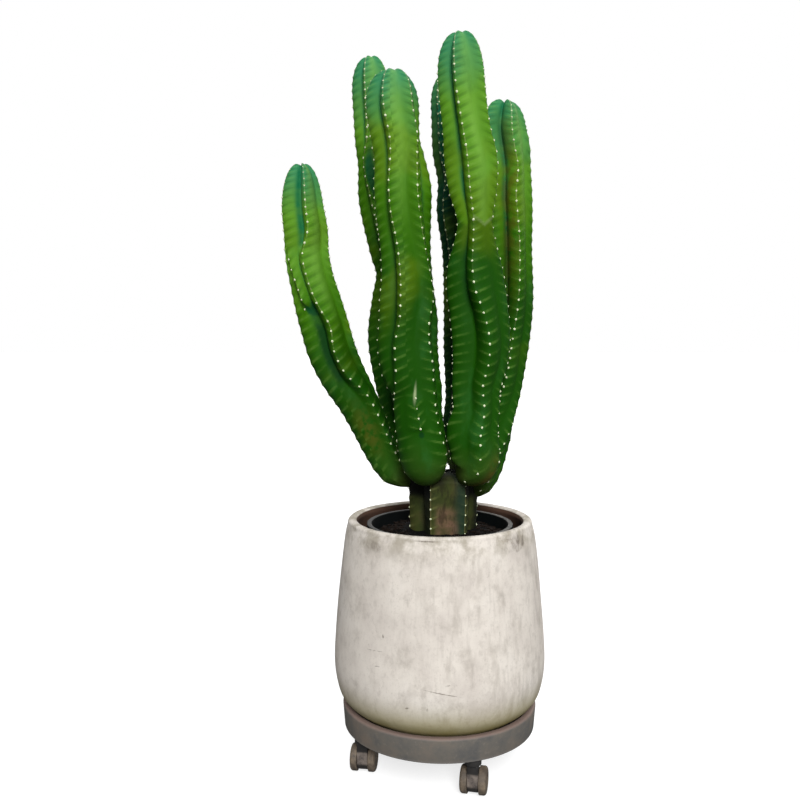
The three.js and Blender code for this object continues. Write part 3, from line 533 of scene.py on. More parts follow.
class Ribbed:
    """The surface of one ribbed stem, in millimetres from the planter's axis."""

    def __init__(self, foot, tip, open_after, rows, valley_place=0.6,
                 short_rib=None, marks=(), scars_and_shade=(), new_growth=None):
        self.foot, self.tip, self.short_rib = foot, tip, short_rib
        self.marks, self.scars_and_shade, self.new_growth = marks, scars_and_shade, new_growth
        self.valley_place, self.open_after = valley_place, open_after
        self.read = smooth_rows(rows)
        self.bottom, self.top = rows[0][0], rows[-1][0]
        self.ribs = len(rows[0]) - 1 - FIRST_RIB
        self.first_areole = self.bottom + foot * FIRST_AREOLE
        if short_rib:
            self.read_short = smooth_rows(short_rib["rows"])
            self.short_low, self.short_high = short_rib["rows"][0][0], short_rib["rows"][-1][0]
        self.heights = self.row_heights()
        self.climb = self.length_along_edge(self.heights)

    def row_heights(self):
        """Rows of points: evenly spaced, and by angle over the two rounded ends."""
        low, high = self.bottom + self.foot, self.top - self.tip
        under = np.radians(np.linspace(END_ANGLE, 8, FOOT_ROWS))
        over = np.radians(np.linspace(2, END_ANGLE, TIP_ROWS))
        body = np.linspace(low, high, max(2, round((high - low) / ROW_STEP)))
        return np.concatenate([low - self.foot * np.sin(under), body, high + self.tip * np.sin(over)])

    def length_along_edge(self, heights):
        """Height, but on the rounded tip the length along a rib's edge, which carries the areoles."""
        start = self.top - self.tip
        radius = self.read(heights)[..., 2] * self.roundness(heights)
        steps = np.hypot(np.diff(heights, prepend=start), np.diff(radius, prepend=radius[0]))
        return np.minimum(heights, start) + np.cumsum(steps * (heights > start)) * TIP_CROWDING

    def middle(self, height):
        """The middle of the stem at a height."""
        height = np.asarray(height, float)
        return np.concatenate([self.read(height)[..., :2], height[..., None]], axis=-1)

    def axes(self, height):
        """Unit vectors along the stem, to its front and to its side."""
        low = np.clip(height - STRETCH / 2, self.bottom, self.top - STRETCH)
        along = unit(self.middle(low + STRETCH) - self.middle(low))
        forward = np.array([0.0, -1.0, 0.0])
        front = unit(forward - along * (along @ forward)[..., None])
        return along, front, np.cross(along, front)

    def roundness(self, height):
        """1 along the stem, and down to 0 at the ends of its foot and its tip."""
        above = np.clip((height - (self.top - self.tip)) / self.tip, 0, 1)
        below = np.clip((self.bottom + self.foot - height) / self.foot, 0, 1)
        return (1 - above ** TIP_BLUNTNESS) ** (1 / TIP_BLUNTNESS) * np.sqrt(1 - below ** 2)

    def rib_direction(self, height, rib):
        return self.read(height)[..., FIRST_RIB + rib % self.ribs] + 360 * (rib // self.ribs)

    def short_direction(self, height):
        return self.read_short(height)[..., 0]

    def standing_out(self, height):
        """How far the short rib stands out of its valley: 0 beyond its two ends and 1 between them."""
        rising = (height - self.short_low) / self.short_rib["low_end"]
        falling = (self.short_high - height) / self.short_rib["high_end"]
        return smoothstep(np.minimum(rising, falling), 0, 1)

    def has_short_rib(self, rib):
        return bool(self.short_rib) and self.short_rib["after"] == rib

    def short_rib_share(self, height):
        """How far across its valley the short rib stands."""
        after = self.short_rib["after"]
        here, beyond = self.rib_direction(height, after), self.rib_direction(height, after + 1)
        return (self.short_direction(height) - here) / (beyond - here)

    def painted(self, spots, height, rib, share):
        """How strongly the soft spots of a table tell at points of the skin."""
        tone = np.zeros(height.shape)
        for after, middle, half_width, level, half_height, strength in spots:
            if after == rib:
                aside, above = (share - middle) / half_width, (height - level) / half_height
                tone += strength * np.exp(-aside ** 2 - above ** 2)
        return tone

    def waist_line(self, share):
        """Where the new growth of a stem begins, lower in the middle of a valley than at its edges."""
        return self.new_growth[0] - WAIST_DROP * (1 - np.abs(2 * share - 1))

    def growth(self, height, share):
        """How far up the stem a point is, from 0 to 1, with a step where its new growth begins."""
        grown = (height - self.bottom) / (self.top - self.bottom)
        if not self.new_growth:
            return grown
        softness = self.new_growth[1]
        above = smoothstep(height, self.waist_line(share) - softness, self.waist_line(share) + softness)
        older = OLDER_BELOW * smoothstep(grown, 0.15, 0.35)
        younger = YOUNGER_ABOVE * (1 - smoothstep(grown, 0.65, 0.85))
        return grown - older + above * (older + younger)

    def fold_at(self, share):
        """0 on a rib's edge and 1 in the valley, at that share of the way to the next rib."""
        return np.clip(np.minimum(share / self.valley_place, (1 - share) / (1 - self.valley_place)), 0, 1)

    def across(self, rib):
        """The columns of points from one rib's edge to the next: their directions, how deep and how folded
        in they lie, how far across the valley, and the rib whose ridges each one carries."""
        height = self.heights
        here, beyond = self.rib_direction(height, rib), self.rib_direction(height, rib + 1)
        steps = np.array(ACROSS)
        wide = smoothstep(beyond - here, NARROW, WIDE)[:, None]
        deepest = 1
        if rib == self.open_after:
            wide, deepest = np.maximum(wide, OPEN_ROUNDNESS), OPEN_DEPTH
        if self.has_short_rib(rib):
            ridge = self.short_rib_share(height)[:, None]
            share = np.concatenate([ridge * steps, ridge + (1 - ridge) * steps], axis=1)
            owner = np.where(np.concatenate([steps, steps + 1]) < 1, rib, rib + 1)
        else:
            place = self.valley_place
            shares = np.where(steps < 0.5, 2 * steps * place, 1 - 2 * (1 - steps) * (1 - place))
            share = np.tile(shares, (len(height), 1))
            owner = np.where(steps < 0.5, rib, rib + 1)
        fold = self.fold_at(share)
        depth = deepest * valley_depth(fold, wide)
        if self.has_short_rib(rib):
            out = self.standing_out(height)[:, None]
            local = np.concatenate([1 - np.abs(2 * steps - 1)] * 2)
            shoulder = np.concatenate([steps, 1 - steps]) ** 2 * (1 - SHORT_RIB_HEIGHT)
            beside = SHORT_VALLEY_DEPTH * valley_depth(local, SHORT_VALLEY_ROUNDNESS)
            split = deepest * np.clip(beside + shoulder, 0, 1)
            fold = fold + out * (local - fold)
            depth = depth + out * (split - depth)
        return here[:, None] + share * (beyond - here)[:, None], depth, fold, share, owner

    def areole_phase(self, height, rib):
        """Turns of the wave that has a top at each areole of a rib."""
        first = self.first_areole + (rib % self.ribs % 3) * AREOLE_PITCH / 3
        return (np.interp(height, self.heights, self.climb) - first) / AREOLE_PITCH

    def point(self, height, direction, depth, lift):
        """Points on the surface. depth is 0 on a rib's edge and 1 in a valley."""
        values = self.read(height)
        along, front, side = self.axes(height)
        round_ = self.roundness(height)
        share = 1 - depth * (1 - values[..., 3])
        radius = (values[..., 2] * share + lift * np.minimum(1, 2 * round_)) * round_
        turn = np.radians(direction)
        outward = front * np.cos(turn)[..., None] + side * np.sin(turn)[..., None]
        over = (height > self.top - self.tip) * (1 - round_)
        sunk = TIP_FURROW * depth * smoothstep(over, 0.15, 0.8) + TIP_DIMPLE * smoothstep(over, 0.7, 1)
        return self.middle(height) + outward * radius[..., None] - along * sunk[..., None]

    def valley(self, rib):
        """Points from one rib's edge to the next, and the values that the skin's material reads there."""
        direction, depth, fold, share, owner = self.across(rib)
        phase = np.stack([self.areole_phase(self.heights, own) for own in owner], axis=1)
        ridge = np.cos(2 * np.pi * (phase - RIDGE_CLIMB * fold / AREOLE_PITCH))
        fade = np.clip(1 - fold, 0, 1) ** EDGE_FADE
        level = np.repeat(self.heights[:, None], direction.shape[1], axis=1)
        mark = self.painted(self.marks, level, rib, share)
        if self.new_growth and rib == self.open_after:
            mark += self.new_growth[2] * np.exp(-((level - self.waist_line(share)) / SEAM_WIDTH) ** 2)
        return self.point(level, direction, depth, EDGE_WAVE * ridge * fade), {
            "furrow": depth * (1 - self.read(level)[..., 3]), "ridge": ridge, "fold": fold, "share": share,
            "open": np.full(share.shape, float(rib == self.open_after)), "mark": mark,
            "growth": self.growth(level, share), "scar": self.painted(self.scars_and_shade, level, rib, share),
        }

    def surface(self):
        """Points and faces of the whole skin, closed at both ends, and its values."""
        valleys = [self.valley(rib) for rib in range(self.ribs)]
        points = np.concatenate([places for places, _ in valleys], axis=1)
        rows, around = points.shape[:2]
        ends = [self.middle(self.bottom + END_GAP), points[-1].mean(axis=0)]
        low, high = rows * around, rows * around + 1
        last = (rows - 1) * around
        faces = grid_faces(rows, around)
        faces += [(low, (i + 1) % around, i) for i in range(around)]
        faces += [(high, last + i, last + (i + 1) % around) for i in range(around)]
        values = {}
        for key in valleys[0][1]:
            value = np.concatenate([told[key] for _, told in valleys], axis=1)
            values[key] = np.append(value.ravel(), [value[0].mean(), value[-1].mean()])
        return (np.concatenate([points.reshape(-1, 3), ends]), faces), values

    def areoles(self):
        """Each areole's place on a rib's edge, with the directions out of the skin and up along it."""
        found = []
        for rib in range(self.ribs):
            phase = self.areole_phase(self.heights, rib)
            for turn in range(math.ceil(phase[0]), math.floor(phase[-1]) + 1):
                height = np.interp(turn, phase, self.heights)
                found.append(self.areole_at(height, lambda h, r=rib: self.rib_direction(h, r), 0))
        if self.short_rib:
            first, last = self.short_low + BARE_LOW_END, self.short_high - BARE_HIGH_END
            for height in np.arange(first, last, AREOLE_PITCH):
                found.append(self.areole_at(height, self.short_direction, 1 - SHORT_RIB_HEIGHT))
        return found

    def areole_at(self, height, direction, depth):
        heights = np.clip(np.array([height - 1, height, height + 1]), self.bottom, self.top - END_GAP)
        lift = EDGE_WAVE if depth == 0 else 0
        low, here, high = self.point(heights, direction(heights), np.full(3, depth), lift)
        upward = unit(high - low)
        outward = here - self.middle(height - TIP_AIM if height > self.top - self.tip else height)
        outward = unit(outward - upward * (outward @ upward))
        return here, outward, upward


def valley_depth(fold, wide):
    """How deep the skin lies at a fold of 0, on a rib's edge, to 1. A wide valley has a rounder floor."""
    fold = np.clip(fold, 0, 1)
    narrow = 0.35 * fold + 0.65 * fold ** 2
    return narrow + wide * (np.sin(np.pi * fold / 2) ** 1.7 - narrow)


PAD_SIZE = np.array([1.8525, 2.145, 1.0])  # half a woolly pad, across the rib, along it and outward
PAD_SIZES = (0.82, 1.15)  # the least and the greatest, as shares of that
PAD_LUMPS = 0.1
PAD_SINK = 0.3  # how deep the middle of a pad lies
YOUNG_PAD = 0.5  # size of the pads at the very tip, as a share of the others'
YOUNG_LENGTH = 90  # below the tip, over which the pads grow to full size
SPINES = 4  # on each pad
SPINE_LEANS = (0.3, 0.9)  # how far sideways, for each step outward
SPINE_LENGTHS = (1.5, 2.4)
SPINE_RADIUS = 0.22
SPINE_ROOT = 0.4  # how far out of the skin it begins, inside the pad
SPINE_FACES = [(0, 1, 3), (1, 2, 3), (2, 0, 3), (2, 1, 0)]  # its tip comes last


def wool_ball():
    """A round, finely faceted pad of radius 1."""
    ball = bmesh.new()
    bmesh.ops.create_icosphere(ball, subdivisions=2, radius=1)
    return points_and_faces(ball)


def areole_pads(name, stem, draw):
    """The woolly pad of each areole and the very short spines that stand in it."""
    ball, ball_faces = wool_ball()
    pads, pad_faces, spines, spine_faces = [], [], [], []
    for place, outward, upward in stem.areoles():
        side = np.cross(upward, outward)
        grown = np.interp(stem.top - place[2], [0, YOUNG_LENGTH], [YOUNG_PAD, 1])
        scale = PAD_SIZE * draw.uniform(*PAD_SIZES) * grown
        lumps = 1 + PAD_LUMPS * draw.standard_normal((len(ball), 1))
        pad_faces += moved(ball_faces, len(pads) * len(ball))
        pads.append(place - outward * PAD_SINK + (ball * lumps * scale) @ np.array([side, upward, outward]))
        for _ in range(SPINES):
            lean, turn = draw.uniform(*SPINE_LEANS), draw.uniform(0, 2 * math.pi)
            way = unit(outward + lean * (side * math.cos(turn) + upward * math.sin(turn)))
            across = unit(np.cross(way, upward + 0.01))
            other = np.cross(way, across)
            spine_faces += moved(SPINE_FACES, len(spines))
            for angle in np.radians([0, 120, 240]):
                corner = SPINE_RADIUS * (across * math.cos(angle) + other * math.sin(angle))
                spines.append(place + outward * SPINE_ROOT + corner)
            spines.append(place + way * draw.uniform(*SPINE_LENGTHS) * grown)
    piece(name + "_wool", (np.concatenate(pads), pad_faces), WOOL, "stem_skin")
    piece(name + "_spines", (spines, spine_faces), SPINE, "stem_skin", flat=True)


# ---- the pots ------------------------------------------------------------------------------------

DECK_TOP = 100  # of the caddy
PLANTER_TOP = 471
PLANTER_WALL = 18
PLANTER_FLOOR = 20.3  # above the caddy's deck, from which the planter stands clear by a hair
PLANTER_UNDERSIDE = 0.3
PLANTER_FLOOR_R, DRAIN_R = 150, 14
RIM_OUTSIDE_R, RIM_INSIDE_R = 174, 157  # of the planter's rounded rim
RIM_ROUNDING = (6, 5)
DENTS = 0.22  # half the depth of the planter's small dents and flats
PLANTER_OUTSIDE = [  # [radius, height above the caddy's deck]
    [132, PLANTER_UNDERSIDE], [149, 5], [166, 18], [183, 33], [194, 54], [200.5, 98],
    [197.5, 165], [189, 261], [180, 336], [174, 364],
]
NURSERY_TOP, NURSERY_BOTTOM, NURSERY_SHOULDER = 461, DECK_TOP + 20.6, 445
NURSERY_RIM_R, NURSERY_INNER_R, NURSERY_NECK_R, NURSERY_FOOT_R = 138, 129, 132, 104
NURSERY_WALL = 3
NURSERY_LIP, NURSERY_RIM_EDGE = 1.6, 1.5  # roundings of the rim, above and below
SOIL_R, SOIL_FOOT_R, SOIL_MIDDLE_R = 127, 100, 2  # at its top, at its bottom and of its middle facet
SOIL_BOTTOM = DECK_TOP + 24
SOIL_RINGS = 44
SOIL_SLOPE = ([78, 95, 112, SOIL_R], [450, 446.5, 441, 438])  # radii, and the heights there
CHIPS = 420
CHIP_LENGTHS = (1.2, 4.5)  # half the shortest and half the longest
CHIP_RING = (60, 120)  # radii between which they lie
CHIP_LIFT = 0.4  # of a chip's middle above the soil


def turned(profile, sides=128, uneven=None):
    """Points and quads of a profile of [radius, height] turned about the planter's axis, closed on
    itself. It is taken upward on the outside. uneven gives what to add to the radius."""
    profile = np.array(profile, float)
    turn = np.arange(sides) * 2 * math.pi / sides
    radius = np.repeat(profile[:, :1], sides, axis=1)
    height = np.repeat(profile[:, 1:], sides, axis=1)
    if uneven:
        radius = radius + uneven(turn[None, :], height) * (radius > 1)
    points = np.stack([radius * np.sin(turn), -radius * np.cos(turn), height], axis=-1)
    rows = len(profile)
    faces = grid_faces(rows, sides)
    last = (rows - 1) * sides
    faces += [(last + i, last + (i + 1) % sides, (i + 1) % sides, i) for i in range(sides)]
    return points.reshape(-1, 3), faces


def curve_through(points, steps):
    """A smooth curve through points of [radius, height], with steps points to each stretch."""
    read = smooth_rows([[i, *point] for i, point in enumerate(points)])
    return read(np.linspace(0, len(points) - 1, steps * (len(points) - 1) + 1)).tolist()


def arc(centre, radius, start, stop, steps=6):
    """Points of [radius, height] on an arc between two angles, in degrees upward from outward."""
    angles = np.radians(np.linspace(start, stop, steps + 1))
    return [[centre[0] + radius * math.cos(a), centre[1] + radius * math.sin(a)] for a in angles]


def hand_made(turn, height):
    """The planter's small dents and flats, in millimetres: never outward of its plain form."""
    wander = (np.sin(3 * turn + 0.01 * height) + np.sin(5 * turn - 0.017 * height + 2)
              + np.sin(9 * turn + 0.03 * height + 1) + np.sin(14 * turn - 0.045 * height) * 0.5)
    return DENTS * (wander - 3.5)


def planter():
    outer, inner = RIM_ROUNDING
    outside = curve_through([[r, DECK_TOP + z] for r, z in PLANTER_OUTSIDE], 6)
    rim = arc([RIM_OUTSIDE_R - outer, PLANTER_TOP - outer], outer, 8, 90)
    rim += arc([RIM_INSIDE_R + inner, PLANTER_TOP - 1 - inner], inner, 90, 180)
    inside = curve_through([[r - PLANTER_WALL, DECK_TOP + z] for r, z in PLANTER_OUTSIDE[:3:-1]], 5)
    floor_top, underside = DECK_TOP + PLANTER_FLOOR, DECK_TOP + PLANTER_UNDERSIDE
    drain = [[PLANTER_FLOOR_R, floor_top], [DRAIN_R, floor_top], [DRAIN_R, underside]]
    profile = [*outside, *rim, *inside, *drain]
    sides = 160
    first_inner = len(outside) + len(rim) - 3  # on the inner half of the rim
    is_inner = np.repeat(np.arange(len(profile)) >= first_inner, sides)
    piece("planter_shell", turned(profile, sides, hand_made), CEMENT, "planter_cement", ["planter"],
          values={"inner": is_inner})


def nursery_pot():
    lip, edge, bottom, shoulder = NURSERY_LIP, NURSERY_RIM_EDGE, NURSERY_BOTTOM, NURSERY_SHOULDER
    profile = [
        [0, bottom], [NURSERY_FOOT_R, bottom], [NURSERY_NECK_R, shoulder],
        *arc([NURSERY_RIM_R - edge, shoulder + edge], edge, -90, 0),
        *arc([NURSERY_RIM_R - lip, NURSERY_TOP - lip], lip, 0, 90),
        *arc([NURSERY_INNER_R + lip, NURSERY_TOP - lip], lip, 90, 180), [NURSERY_INNER_R, shoulder],
        [NURSERY_FOOT_R - NURSERY_WALL, bottom + NURSERY_WALL], [0, bottom + NURSERY_WALL],
    ]
    piece("nursery_pot_shell", turned(profile), POT_PLASTIC, "pot_plastic", ["nursery_pot"], weld=True)


def soil_height(x, y):
    """The soil's top: lumpy, level round the trunk and falling to the wall of the nursery pot."""
    far = np.hypot(x, y)
    lumps = (1.2 * (np.sin(x * 0.11 + 1) * np.cos(y * 0.13) + np.sin((x - y) * 0.07))
             + 0.5 * np.sin(x * 0.31 + y * 0.2) * np.cos(y * 0.37 - x * 0.12))
    rough = 1 - smoothstep(far, SOIL_R - 20, SOIL_R)
    return np.interp(far, *SOIL_SLOPE) + rough * lumps


def soil():
    sides = 96
    turn = np.arange(sides) * 2 * math.pi / sides
    top = np.linspace(SOIL_R, SOIL_MIDDLE_R, SOIL_RINGS)
    radii = np.concatenate([[SOIL_MIDDLE_R, SOIL_FOOT_R], top])[:, None]
    x, y = radii * np.sin(turn), -radii * np.cos(turn)
    height = soil_height(x, y)
    height[:2] = SOIL_BOTTOM
    rings = len(radii)
    points = np.stack([x, y, height], axis=-1).reshape(-1, 3)
    middle = (rings - 1) * sides
    faces = grid_faces(rings, sides) + [tuple(reversed(range(sides))), tuple(range(middle, middle + sides))]
    piece("soil_bed", (points, faces), SOIL, "potting_soil", ["soil"])


def bark_chips(draw):
    """Bits of bark and grit that lie on the soil: bent boxes, each turned about and tipped a little."""
    points, faces = [], []
    cube = np.array([[x, y, z] for x in (-1, 1) for y in (-1, 1) for z in (-1, 1)], float)
    sides = [(0, 1, 3, 2), (4, 6, 7, 5), (0, 4, 5, 1), (2, 3, 7, 6), (0, 2, 6, 4), (1, 5, 7, 3)]
    near, beyond = CHIP_RING
    for _ in range(CHIPS):
        far, turn = near + (beyond - near) * math.sqrt(draw.uniform()), draw.uniform(0, 2 * math.pi)
        x, y = far * math.sin(turn), far * math.cos(turn)
        size = draw.uniform(*CHIP_LENGTHS) * np.array([1, draw.uniform(0.4, 0.9), draw.uniform(0.25, 0.5)])
        bent = cube * size * (1 + 0.25 * draw.standard_normal((8, 3)))
        spin = Matrix.Rotation(draw.uniform(0, 6.3), 3, "Z")
        spin = np.array(spin @ Matrix.Rotation(draw.uniform(-0.5, 0.5), 3, "X"))
        faces += moved(sides, len(points))
        points += list([x, y, soil_height(x, y) + CHIP_LIFT] + bent @ spin.T)
    piece("bark_chips", (points, faces), BARK, "potting_soil", flat=True)


# ---- the caddy and its casters -------------------------------------------------------------------

CADDY_R = 184
CADDY_SKIRT_BOTTOM = 75
CADDY_LIP_TOP = 121
CADDY_LIP_WIDTH = 14
CADDY_SKIRT_WIDTH = 9
DECK_THICKNESS = 6


def plant_caddy():
    under = DECK_TOP - DECK_THICKNESS
    skirt_inside, lip_inside = CADDY_R - CADDY_SKIRT_WIDTH, CADDY_R - CADDY_LIP_WIDTH
    profile = [
        [0, under], [skirt_inside - 2, under], *arc([skirt_inside - 2, under - 2], 2, 90, 0),
        [skirt_inside, CADDY_SKIRT_BOTTOM + 1], [skirt_inside + 1, CADDY_SKIRT_BOTTOM],
        *arc([CADDY_R - 5.5, CADDY_SKIRT_BOTTOM + 2.5], 2.5, -90, -10),
        *arc([CADDY_R - 5, CADDY_LIP_TOP - 5], 5, 0, 80),
        *arc([lip_inside + 4, CADDY_LIP_TOP - 4], 4, 95, 180),
        [lip_inside - 2, DECK_TOP + 2], [lip_inside - 4, DECK_TOP], [0, DECK_TOP],
    ]
    piece("caddy_tray", turned(profile, 160), CADDY, "caddy_plastic", ["plant_caddy"], weld=True)


WHEEL_R = 25
WHEEL_WIDTH = 14
HOUSING_WIDTH = 20
HOUSING_R = 22
HOUSING_TOP = 60
HOUSING_ROUNDING = 1.5  # of its neck's top, seen from the side
HOUSING_BEVEL = 1.4
TRAIL = 13  # from the swivel axis back to the axle
SOCKET_R, SOCKET_BOTTOM = 15, HOUSING_TOP + 0.6
joints = {joint["name"]: joint for joint in frame["joints"]}


def standing(name):
    """The place of a caster: its own X along the axle, its origin on the floor under the pin."""
    pin = joints[f"caster_{name}_turn"]["pos_m"]
    axle = Vector(joints[f"caster_{name}_roll"]["axis"]).normalized()
    up = Vector((0, 0, 1))
    turn = Matrix((axle, up.cross(axle), up)).transposed().to_4x4()
    return Matrix.Translation((pin[0], pin[1], 0)) @ turn


def wheel(outward):
    """A wheel about the axle, with its rounded tread, a ring groove and a domed hub cap."""
    tread = HOUSING_WIDTH / 2 + 0.3
    far = HOUSING_WIDTH / 2 + WHEEL_WIDTH
    profile = [
        [0, far - 1.2], [3, far - 1.0], [6.5, far - 0.5], [8.5, far - 0.9], [9, far - 1.5], [9.8, far - 1.5],
        [10.3, far - 0.6], [13, far - 0.2], [16, far], [18.5, far - 0.35],
        *arc([WHEEL_R - 5.2, far - 5.6], 5.2, 78, 0, 8), [WHEEL_R, tread + 1.2],
        *arc([WHEEL_R - 1.2, tread + 1.2], 1.2, 0, -90, 4), [3.4, tread], [3.4, far - 6], [0, far - 6],
    ]
    points, faces = turned(profile[::-1], 72)
    points = points[:, [2, 0, 1]]
    if outward < 0:
        points = points * np.array([-1, -1, 1])
    return points + np.array([0, TRAIL, WHEEL_R]), faces


def housing_outline():
    """The housing from the side, as [across, up]: a disc that stops short of the floor and a square neck."""
    neck = HOUSING_R - TRAIL
    corner, high = neck - HOUSING_ROUNDING, HOUSING_TOP - HOUSING_ROUNDING
    neck_back = math.degrees(math.acos((TRAIL - neck) / HOUSING_R))
    disc = arc([-TRAIL, WHEEL_R], HOUSING_R, -46, 0, 12)
    top = arc([corner, high], HOUSING_ROUNDING, 0, 90, 4) + arc([-corner, high], HOUSING_ROUNDING, 90, 180, 4)
    back = arc([-TRAIL, WHEEL_R], HOUSING_R, neck_back, 172, 24)
    return [[-y, z] for y, z in (*disc, *top, *back, [-TRAIL - 9, WHEEL_R - 9])]


def housing():
    """The housing, with its outline's edges bevelled."""
    shape = bmesh.new()
    shape.faces.new([shape.verts.new((-HOUSING_WIDTH / 2, y, z)) for y, z in housing_outline()])
    pushed = bmesh.ops.extrude_face_region(shape, geom=list(shape.faces))["geom"]
    far = [made for made in pushed if isinstance(made, bmesh.types.BMVert)]
    bmesh.ops.translate(shape, vec=(HOUSING_WIDTH, 0, 0), verts=far)
    bmesh.ops.recalc_face_normals(shape, faces=shape.faces)
    rims = [e for e in shape.edges if abs(e.verts[0].co.x - e.verts[1].co.x) < 1]
    bmesh.ops.bevel(shape, geom=rims, offset=HOUSING_BEVEL, segments=3, profile=0.5, affect="EDGES")
    return points_and_faces(shape)


def socket():
    """The socket under the caddy that a caster's pin turns in."""
    low, high = SOCKET_BOTTOM, DECK_TOP - DECK_THICKNESS + 1
    return turned([[0, low], [SOCKET_R - 1, low], [SOCKET_R, low + 1], [SOCKET_R, high], [0, high]], 64)


def caster(name):
    where = {"place": standing(name), "weld": True}
    for side, outward in (("right", 1), ("left", -1)):
        piece(f"caster_{name}_tyre_{side}", wheel(outward), WHEEL, "wheel_plastic",
              [f"caster_{name}_wheel_{side}"], f"caster_{name}_wheels", **where)
    piece(f"caster_{name}_fork", housing(), HOUSING, "housing_plastic",
          [f"caster_{name}_housing"], f"caster_{name}_swivel", **where)
    piece(f"caddy_socket_{name}", socket(), CADDY, "caddy_plastic", **where)


# ---- finishes ------------------------------------------------------------------------------------


def speckled(name, noise, stops, relief=None, roughness=0.5, uneven=0, **sockets):
    """A finish whose colour, relief and unevenness of gloss all follow one noise."""
    finish = Finish(name)
    grain = finish.noise(*noise)
    if relief:
        sockets["normal"] = finish.bump(grain, *relief)
    if uneven:
        roughness = roughness + grain * uneven
    return finish.surface(base_color=finish.ramp(grain, *stops), roughness=roughness, **sockets)


def aged(green, age, low, middle, high, tip):
    """A stem's green from its foot to its tip."""
    return green.ramp(age, (0.0, 0x36541A), (0.1, low), (0.48, low), (0.7, middle), (0.84, high), (0.98, tip))


def stem_skin(name, greens, valley, upper_valley_shade, greens_behind=None):
    """Waxy green skin: its greens from the foot to the tip, and the shade painted into its deep valleys,
    low on the stem and high up. A stem that stands in the others' shade has that shade painted into
    its greens on its near side; its far side takes the plain greens given after them."""
    green = Finish(name)
    growth, furrow, ridge, fold, share, is_open, mark, scar = green.attributes(
        "growth", "furrow", "ridge", "fold", "share", "open", "mark", "scar")
    patch = green.noise(11, 3)
    mottle = green.noise(70, 5, 0.65)
    soft = green.noise(24, 4, 0.6, at=green.place(scale=(1, 1, 0.5)))
    olive = green.noise(7, 2, at=green.place(shift=(3, 1, 2)))
    broken = green.noise(26, 2, at=green.place(scale=(0.3, 0.3, 1))).rise(0.3, 0.5)
    age = growth + (patch - 0.5) * 0.2
    colour = aged(green, age, *greens)
    # the shaded greens carry the painted shade of the stems in front; the far side takes the plain greens
    if greens_behind:
        deep, = green.along("Y")
        colour = green.mix(deep.rise(0.093, 0.115), colour, aged(green, age, *greens_behind))
    # painted shade for the deep valleys: darker low on the stem, lighter high up
    painted_valley_shade = green.mix(growth.rise(0.6, 0.85), valley, upper_valley_shade)
    # a painted sheen along the open valley's floor, high on the stem
    painted_sheen_band = is_open * share.rise(0.02, 0.4) * share.rise(0.85, 0.4) * growth.rise(0.58, 0.8)
    # where shade is painted into the deep slits beside the ribs' edges
    deep_slit_shade = furrow.rise(0.22, 0.44) * share.rise(0.35, 0.6) * growth.rise(0.27, 0.37) * (0.35 + broken * 0.65)
    flank = fold.rise(0.9, 0.1)
    corky = fold.rise(0.05, 0.0) * green.noise(160, 2).rise(0.4, 0.6) * growth.rise(0.3, 0.7)
    crest = fold.rise(0.1, 0.02) * growth.rise(0.9, 1.0) * mottle.rise(0.35, 0.6)
    colour = green.coats(
        colour,  # then olive, cool and deep green patches
        (olive.rise(0.48, 0.64) * growth.rise(0.3, 0.5) * 0.45, 0x587206),
        (soft.rise(0.5, 0.75) * growth.rise(0.9, 0.4) * 0.3, 0x2E6830),
        (soft.rise(0.5, 0.25) * 0.3, greens[0]),
        # the painted sheen of a pale band in the open valley, and painted shade in the deep ones
        (painted_sheen_band * soft * 0.55, 0x86B852),
        (deep_slit_shade * 0.9, painted_valley_shade),
        # the ridges on the flanks: painted light on their tops and painted shade in the troughs between them
        (ridge.rise(0.3, 1.0) * flank * mottle.rise(0.3, 0.6) * 0.2, 0x86B052),
        (ridge.rise(-0.2, -0.9) * flank * 0.35, 0x143C08),
        # pale streaks, and painted shade in pockets
        (mark.rise(0.1, 0.9) * 0.6, 0xA9B68A),
        (mark.rise(-0.1, -0.7) * 0.85, painted_valley_shade),
        # cork along the ribs' edges, grey at the tip, then tan scar patches with stem_right's painted shade
        # among them, and an earthy foot
        (corky * 0.6, 0x8C9060),
        (crest * 0.45, 0x8FA27A),
        (scar * green.noise(40, 4, 0.6).rise(0.35, 0.55), 0x5A5018),
        (growth.rise(0.05, 0.0) * 0.6, 0x3C3A1C))
    relief = green.bump(mottle, 0.0006, 0.5)
    relief = green.bump(green.noise(420, 3), 0.0002, 0.5, relief)
    return green.surface(base_color=colour, roughness=0.5 + mottle * 0.2, specular_ior_level=0.06,
                         normal=relief)


def trunk_skin():
    bark = Finish("old_olive_skin")
    furrow, fold, ridge, growth, is_open, share = bark.attributes(
        "furrow", "fold", "ridge", "growth", "open", "share")
    cracks = bark.noise(60, 5, 0.7, at=bark.place(scale=(1, 1, 0.3)))
    patch = bark.noise(18, 4)
    scar = is_open * fold.rise(0.1, 0.5) * growth.rise(0.74, 0.5)
    # the flank of each valley where shade is painted
    groove = share.rise(0.6, 0.85)
    closed = 1 - is_open
    colour = bark.coats(
        bark.ramp(patch, (0.3, 0x222B10), (0.5, 0x343B17), (0.7, 0x464222)),
        # a scar in the open valley, cracks, worn ridges and ribs' edges, then painted shade: in the valleys,
        # on one flank of each, and on the top under the stems
        (scar * patch.rise(0.35, 0.6) * 0.85, 0x735646),
        (cracks.rise(0.5, 0.64) * 0.6, 0x1C180C),
        (ridge.rise(0.4, 0.9) * fold.rise(0.6, 0.1) * 0.3, 0x6F7440),
        (fold.rise(0.06, 0) * 0.4, 0x7A724A),
        (furrow.rise(0.15, 0.34) * 0.7, 0x10140A),
        (groove * is_open * 0.75, 0x172E22),
        (groove * closed * 0.85, 0x080D06),
        (growth.rise(0.68, 0.78) * closed * 0.95, 0x050705),
        (growth.rise(0.85, 1.0) * 0.6, 0x080B06))
    return bark.surface(base_color=colour, roughness=0.75, specular_ior_level=0.15,
                        normal=bark.bump(cracks, 0.0015, 0.7))


